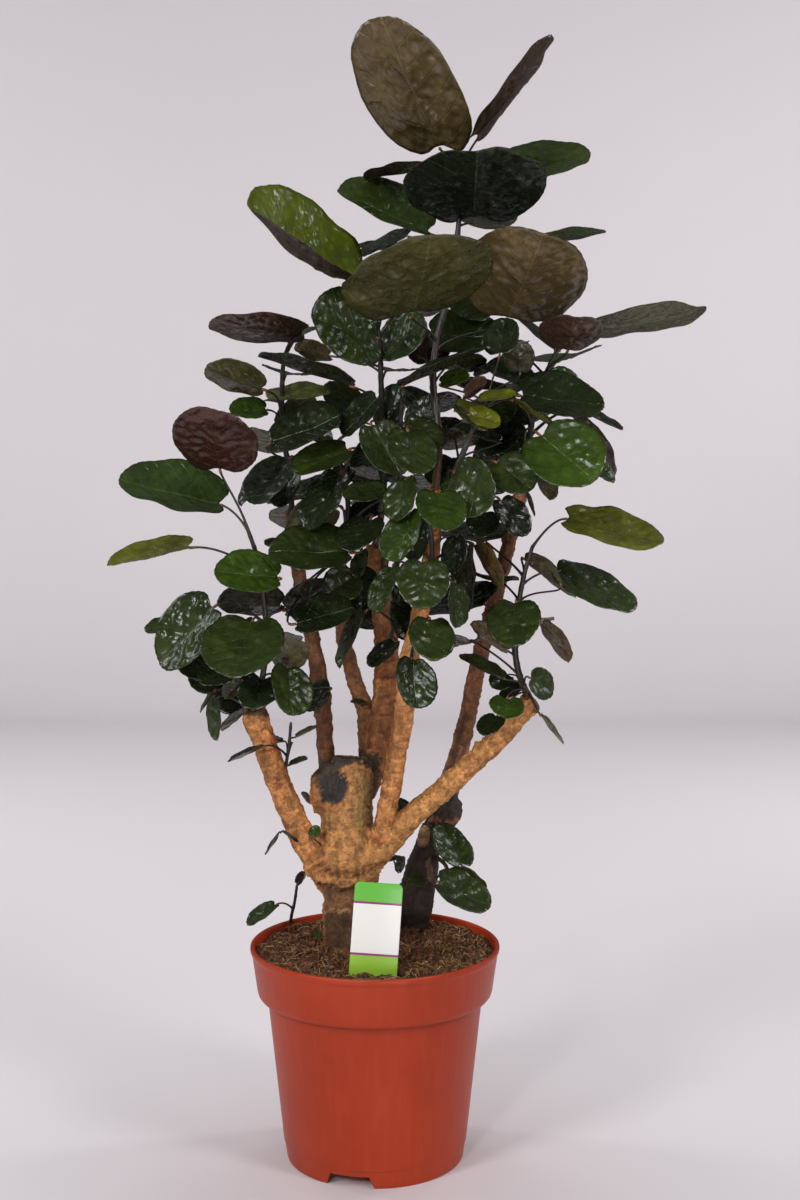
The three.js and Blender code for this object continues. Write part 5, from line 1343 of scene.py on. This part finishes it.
# Colours between a dark and a light one, more of them dark, each for so many points
def strewn(rng, n, dark, light, size):
    mix = rng.uniform(0, 1, n)[:, None] ** soilForm["pale"]
    return np.repeat(light * mix + dark * (1 - mix), size, axis=0)


# Fibres on the soil: thin three-sided bars of four stretches, each bent sideways and arched
def soilStrands():
    f = soilForm
    rng = np.random.default_rng(31)
    n, steps = f["strands"], f["strandSteps"]
    reach = f["spread"] * np.sqrt(rng.uniform(0.0, 1.0, n))
    spot = rng.uniform(0, 2 * math.pi, n)
    way = rng.uniform(0, 2 * math.pi, n)
    length = rng.uniform(6.0, 24.0, n) * rng.uniform(0.5, 1.0, n)
    bend, arch = rng.uniform(-0.35, 0.35, n), rng.uniform(0.02, 0.16, n)
    t = np.linspace(-0.5, 0.5, steps)
    s = t * length[:, None]
    side = bend[:, None] * length[:, None] * (0.25 - t * t) * 2
    x = (reach * np.cos(spot))[:, None] + s * np.cos(way)[:, None] - side * np.sin(way)[:, None]
    y = (reach * np.sin(spot))[:, None] + s * np.sin(way)[:, None] + side * np.cos(way)[:, None]
    pull = np.minimum(1.0, f["strandEdge"] / np.hypot(x, y))
    x, y = x * pull, y * pull
    z = soilHeight(x, y) + 0.5 + arch[:, None] * length[:, None] * (0.25 - t * t) * 4
    z = np.minimum(z, potForm["height"] - 0.5)
    thick = rng.uniform(0.22, 0.62, n)[:, None] * (1 - 1.2 * t * t)
    path = np.stack([x, y, z], -1)
    tangent = unit(np.gradient(path, axis=1))
    across = unit(np.cross(tangent, zAxis))
    over = np.cross(across, tangent)
    angle = np.arange(3) / 3 * 2 * math.pi
    ring = -np.cos(angle)[:, None] * across[:, :, None] + np.sin(angle)[:, None] * over[:, :, None]
    points = path[:, :, None] + thick[:, :, None, None] * ring
    size = steps * 3
    caps = [(2, 1, 0), (size - 3, size - 2, size - 1)]
    return {
        "points": points.reshape(-1, 3),
        "quads": repeated(gridFaces(steps, 3), n, size),
        "fans": repeated(caps, n, size),
        "tint": strewn(rng, n, f["fibreDark"], f["fibre"], size),
    }


# Crumbs and bark chips on the soil: boxes with their corners pulled about, turned any way
def soilChips():
    f = soilForm
    rng = np.random.default_rng(32)
    n = f["chips"]
    corner = np.array([(x, y, z) for z in (-1, 1) for x, y in ((-1, -1), (1, -1), (1, 1), (-1, 1))], float)
    size = rng.uniform(0.5, 1.8, (n, 1, 3)) * rng.uniform(0.6, 1.9, (n, 1, 1))
    shape = corner * size * rng.uniform(0.55, 1.0, (n, 8, 3))
    a = unit(rng.normal(size=(n, 3)))
    b = unit(np.cross(a, rng.normal(size=(n, 3))))
    turn = np.stack([a, b, np.cross(a, b)], axis=1)
    reach, spot = f["spread"] * np.sqrt(rng.uniform(0, 1, n)), rng.uniform(0, 2 * math.pi, n)
    x, y = reach * np.cos(spot), reach * np.sin(spot)
    place = np.stack([x, y, soilHeight(x, y) + 0.4], -1)
    points = np.einsum("nki,nij->nkj", shape, turn) + place[:, None]
    box = [(3, 2, 1, 0), (4, 5, 6, 7), (0, 1, 5, 4), (1, 2, 6, 5), (2, 3, 7, 6), (3, 0, 4, 7)]
    tint = strewn(rng, n, f["chipDark"], f["chip"], 8)
    return {"points": points.reshape(-1, 3), "quads": repeated(box, n, 8), "tint": tint}


# The soil's finish: the tint with painted shade in the hollows of its crumb relief, pale crumbs, and very
# rough
def makeSoilSkin():
    material, add = startFinish("looseSoil")
    where = placeOnObject(add)
    crumbs = noise(add, where, 420.0, 6.0, 0.75)
    patches = noise(add, where, 70.0, 4.0, 0.6)
    colour = add("Attribute", {}, attribute_name="tint")
    # painted shade: where the crumb relief sinks, the tint goes near black
    colour = mixed(add, between(add, crumbs, 0.36, 0.55, 0.75, 0.0), colour, paint(26, 15, 10))
    colour = mixed(add, between(add, crumbs, 0.6, 0.72, 0.0, 0.6), colour, paint(158, 110, 68))
    colour = mixed(add, between(add, patches, 0.4, 0.7, 0.0, 0.25), colour, paint(96, 52, 32))
    bump = add("Bump", {"Strength": 0.9, "Distance": 0.0016, "Height": crumbs})
    closeFinish(add, colour, between(add, patches, 0.2, 0.8, 0.82, 0.95), bump)
    return material


cardForm = {
    "wide": 44.0, "high": 88.0, "corner": 5.0, "thick": 0.8, "stake": 52.0, "stakeWide": 12.0, "point": 10.0,
    "shoulder": 4.0, "waist": -14.0, "lean": -4.0, "tilt": 5.0, "place": (372.5, 979, -88),
    "band": 0.80, "lowBand": 0.24, "rule": 0.012,
    "white": paint(226, 225, 220), "green": paint(96, 176, 60), "lowGreen": paint(140, 186, 54),
    "purple": paint(136, 44, 108),
}


# The label: a flat outline with round top corners that tapers to a stake, given two faces and a rim
def makeLabel():
    f = cardForm
    half, top, arc = f["wide"] / 2, f["high"], np.linspace(0, math.pi / 2, 9)
    cx, cz = half - f["corner"], top - f["corner"]
    right = np.stack([cx + f["corner"] * np.cos(arc), cz + f["corner"] * np.sin(arc)], -1)
    left = np.stack([-cx - f["corner"] * np.sin(arc), cz + f["corner"] * np.cos(arc)], -1)
    stake = f["stakeWide"] / 2
    side = [(stake, f["point"] - f["stake"]), (stake, f["waist"]), (half, f["shoulder"])]
    otherSide = [(-x, z) for x, z in side[::-1]]
    outline = np.vstack([[(0, -f["stake"])], side, right, left, otherSide])
    count = len(outline)
    inset = outline * 0.985 + np.array([0, 0.3])
    rows = [(inset, -0.5), (outline, -0.36), (outline, 0.36), (inset, 0.5)]  # shares of the thickness
    points = np.vstack([np.insert(row, 1, share * f["thick"], axis=1) for row, share in rows])
    tilt, lean = math.radians(f["tilt"]), math.radians(-f["lean"])
    y = points[:, 1] * math.cos(tilt) + points[:, 2] * math.sin(tilt)
    z = points[:, 2] * math.cos(tilt) - points[:, 1] * math.sin(tilt)
    flat = np.stack([points[:, 0] / f["wide"] + 0.5, points[:, 2] / f["high"]], -1)
    x = points[:, 0] * math.cos(lean) + z * math.sin(lean)
    z = z * math.cos(lean) - points[:, 0] * math.sin(lean)
    points = np.stack([x, y, z], -1) + seen(*f["place"])
    pair = np.arange(1, (count + 1) // 2)
    mate = count - pair
    strip = np.stack([pair[:-1], pair[1:], mate[1:], mate[:-1]], -1)
    last = 3 * count
    quads = np.vstack([gridFaces(4, count)[:, ::-1], strip, strip[:, ::-1] + last])
    end = np.array([(0, 1, count - 1)])
    fans = np.vstack([end, end[:, ::-1] + last])
    card = {"points": points, "quads": quads, "fans": fans, "uv": flat}
    return makePiece("plantLabel", [card], [makeCardSkin()])


# The card's finish: white, with a plain green band at its head and foot, each with a thin purple rule
def makeCardSkin():
    f = cardForm
    material, add = startFinish("printedCard")
    v = add("SeparateXYZ", {0: add("UVMap", {}, uv_map="place")}, out=1)
    colour = mixed(add, counted(add, "GREATER_THAN", v, f["band"]), f["white"], f["green"])
    colour = mixed(add, counted(add, "LESS_THAN", v, f["lowBand"]), colour, f["lowGreen"])
    for edge in (f["band"] - f["rule"], f["lowBand"] + f["rule"]):
        off = counted(add, "ABSOLUTE", counted(add, "SUBTRACT", v, edge))
        colour = mixed(add, counted(add, "LESS_THAN", off, f["rule"]), colour, f["purple"])
    soft = noise(add, placeOnObject(add), 500.0, 2.0)
    bump = add("Bump", {"Strength": 0.05, "Distance": 0.0003, "Height": soft})
    closeFinish(add, colour, between(add, soft, 0.3, 0.7, 0.3, 0.36), bump)
    return material


stand(makePot(), "pot")
soil = makePiece("pottingSoil", [soilBody(), soilStrands(), soilChips()], [makeSoilSkin()])
stand(soil, "soil")
stand(makeLabel(), "label")
print("pot, soil and label made")

stage = {
    "floor": paint(223, 217, 221), "front": -2600.0, "cut": 900.0, "back": 2700.0, "bend": 600.0,
    "wide": 3000.0, "tall": 2600.0, "sky": (0.95, 0.93, 0.94), "skyPower": 0.12, "seenSky": 0.7,
}


# The floor and backdrop: a sheet that is flat, then a quarter circle, then upright. It is cut behind the
# pot, because the leaves' gloss shows the near floor and the lamps, but not the backdrop.
def makeStage():
    arc = np.linspace(0, math.pi / 2, 24)
    bent = np.stack([stage["back"] + stage["bend"] * np.sin(arc), stage["bend"] * (1 - np.cos(arc))], -1)
    floor = np.array([(stage["front"], 0.0), (stage["cut"], 0.0)])
    back = np.vstack([[(stage["cut"], 0.0)], bent, [(stage["back"] + stage["bend"], stage["tall"])]])
    material, add = startFinish("paper")
    where = placeOnObject(add)
    colour = mixed(add, noise(add, where, 2.0), stage["floor"] * 0.98, stage["floor"])
    bump = add("Bump", {"Strength": 0.05, "Distance": 0.001, "Height": noise(add, where, 300.0)})
    closeFinish(add, colour, 0.7, bump)
    x = np.linspace(-stage["wide"], stage["wide"], 3)
    for name, rows in (("paperFloor", floor), ("paperBack", back)):
        y, z = (np.repeat(rows[:, k, None], 3, axis=1) for k in (0, 1))
        points = np.stack([np.broadcast_to(x, y.shape), y, z], -1)
        surface = {"points": points.reshape(-1, 3), "quads": gridFaces(len(rows), 3, False)}
        sheet = makePiece(name, [surface], [material])
        sheet.visible_glossy = name == "paperFloor"


# Lamps: place and what each is turned to in metres, width and height, power, and whether gloss shows it
lamps = {
    "softLeft": ((-1.5, -1.7, 1.7), (0, 0, 0.5), (0.6, 0.8), 27, True),
    "softRight": ((1.7, -1.5, 1.8), (0, 0, 0.5), (0.6, 0.8), 21, True),
    "frontFlash": ((-0.6, -2.1, 1.3), (0, 0, 0.6), (0.22, 0.22), 11, True),
    "lowFlash": ((0.6, -1.9, 0.22), (0, 0, 0.7), (0.22, 0.22), 5, True),
    "floorLeft": ((-0.5, -1.05, 0.06), (0, 0, 0.9), (0.14, 0.14), 0.6, True),
    "floorRight": ((0.4, -1.2, 0.06), (0, 0, 0.9), (0.14, 0.14), 0.6, True),
    "softTop": ((0.1, 0.3, 2.5), (0, 0.1, 0.5), (1.4, 0.8), 15, False),
    "behindLeft": ((-1.4, 1.9, 1.6), (0, 0, 0.7), (0.8, 0.8), 6, False),
    "behindRight": ((1.4, 1.9, 1.4), (0, 0, 0.7), (0.8, 0.8), 6, False),
    "backLeft": ((-2.2, 1.0, 1.7), (-0.3, 3.3, 0.9), (0.6, 1.2), 26, True),
    "backRight": ((2.2, 1.0, 1.7), (0.3, 3.3, 0.9), (0.6, 1.2), 31, True),
}


# One lamp: a rectangle at its place, its front turned along the way to its aim
def addLight(name, place, aim, size, power, glossy):
    lamp = bpy.data.lights.new(name, "AREA")
    lamp.shape, lamp.size, lamp.size_y = "RECTANGLE", size[0], size[1]
    lamp.energy = power
    light = bpy.data.objects.new(name, lamp)
    bpy.context.scene.collection.objects.link(light)
    light.location = place
    light.rotation_euler = (Vector(aim) - Vector(place)).to_track_quat("-Z", "Y").to_euler()
    light.visible_glossy = glossy
    light.visible_camera = False


makeStage()
for name, row in lamps.items():
    addLight(name, *row)
world = bpy.data.worlds.new("room")
world.use_nodes = True
sky = world.node_tree.nodes["Background"]
sky.inputs["Color"].default_value = (*stage["sky"], 1)
power = world.node_tree.nodes.new("ShaderNodeMapRange")  # the sky lights little, but it is seen pale
power.inputs["To Min"].default_value = stage["skyPower"]
power.inputs["To Max"].default_value = stage["seenSky"]
ray = world.node_tree.nodes.new("ShaderNodeLightPath")
world.node_tree.links.new(ray.outputs["Is Camera Ray"], power.inputs["Value"])
world.node_tree.links.new(power.outputs["Result"], sky.inputs["Strength"])
bpy.context.scene.world = world
bpy.context.scene.view_settings.view_transform = "Standard"

camera = bpy.data.cameras.new("camera")
camera.lens = camera.sensor_width * view["focal"] / view["tall"]
cameraObject = bpy.data.objects.new("camera", camera)
cameraObject.location = eye * 0.001
cameraObject.rotation_euler = (math.pi / 2 - down, 0, 0)
bpy.context.scene.collection.objects.link(cameraObject)
bpy.context.scene.camera = cameraObject
print("stage, lights and camera set")
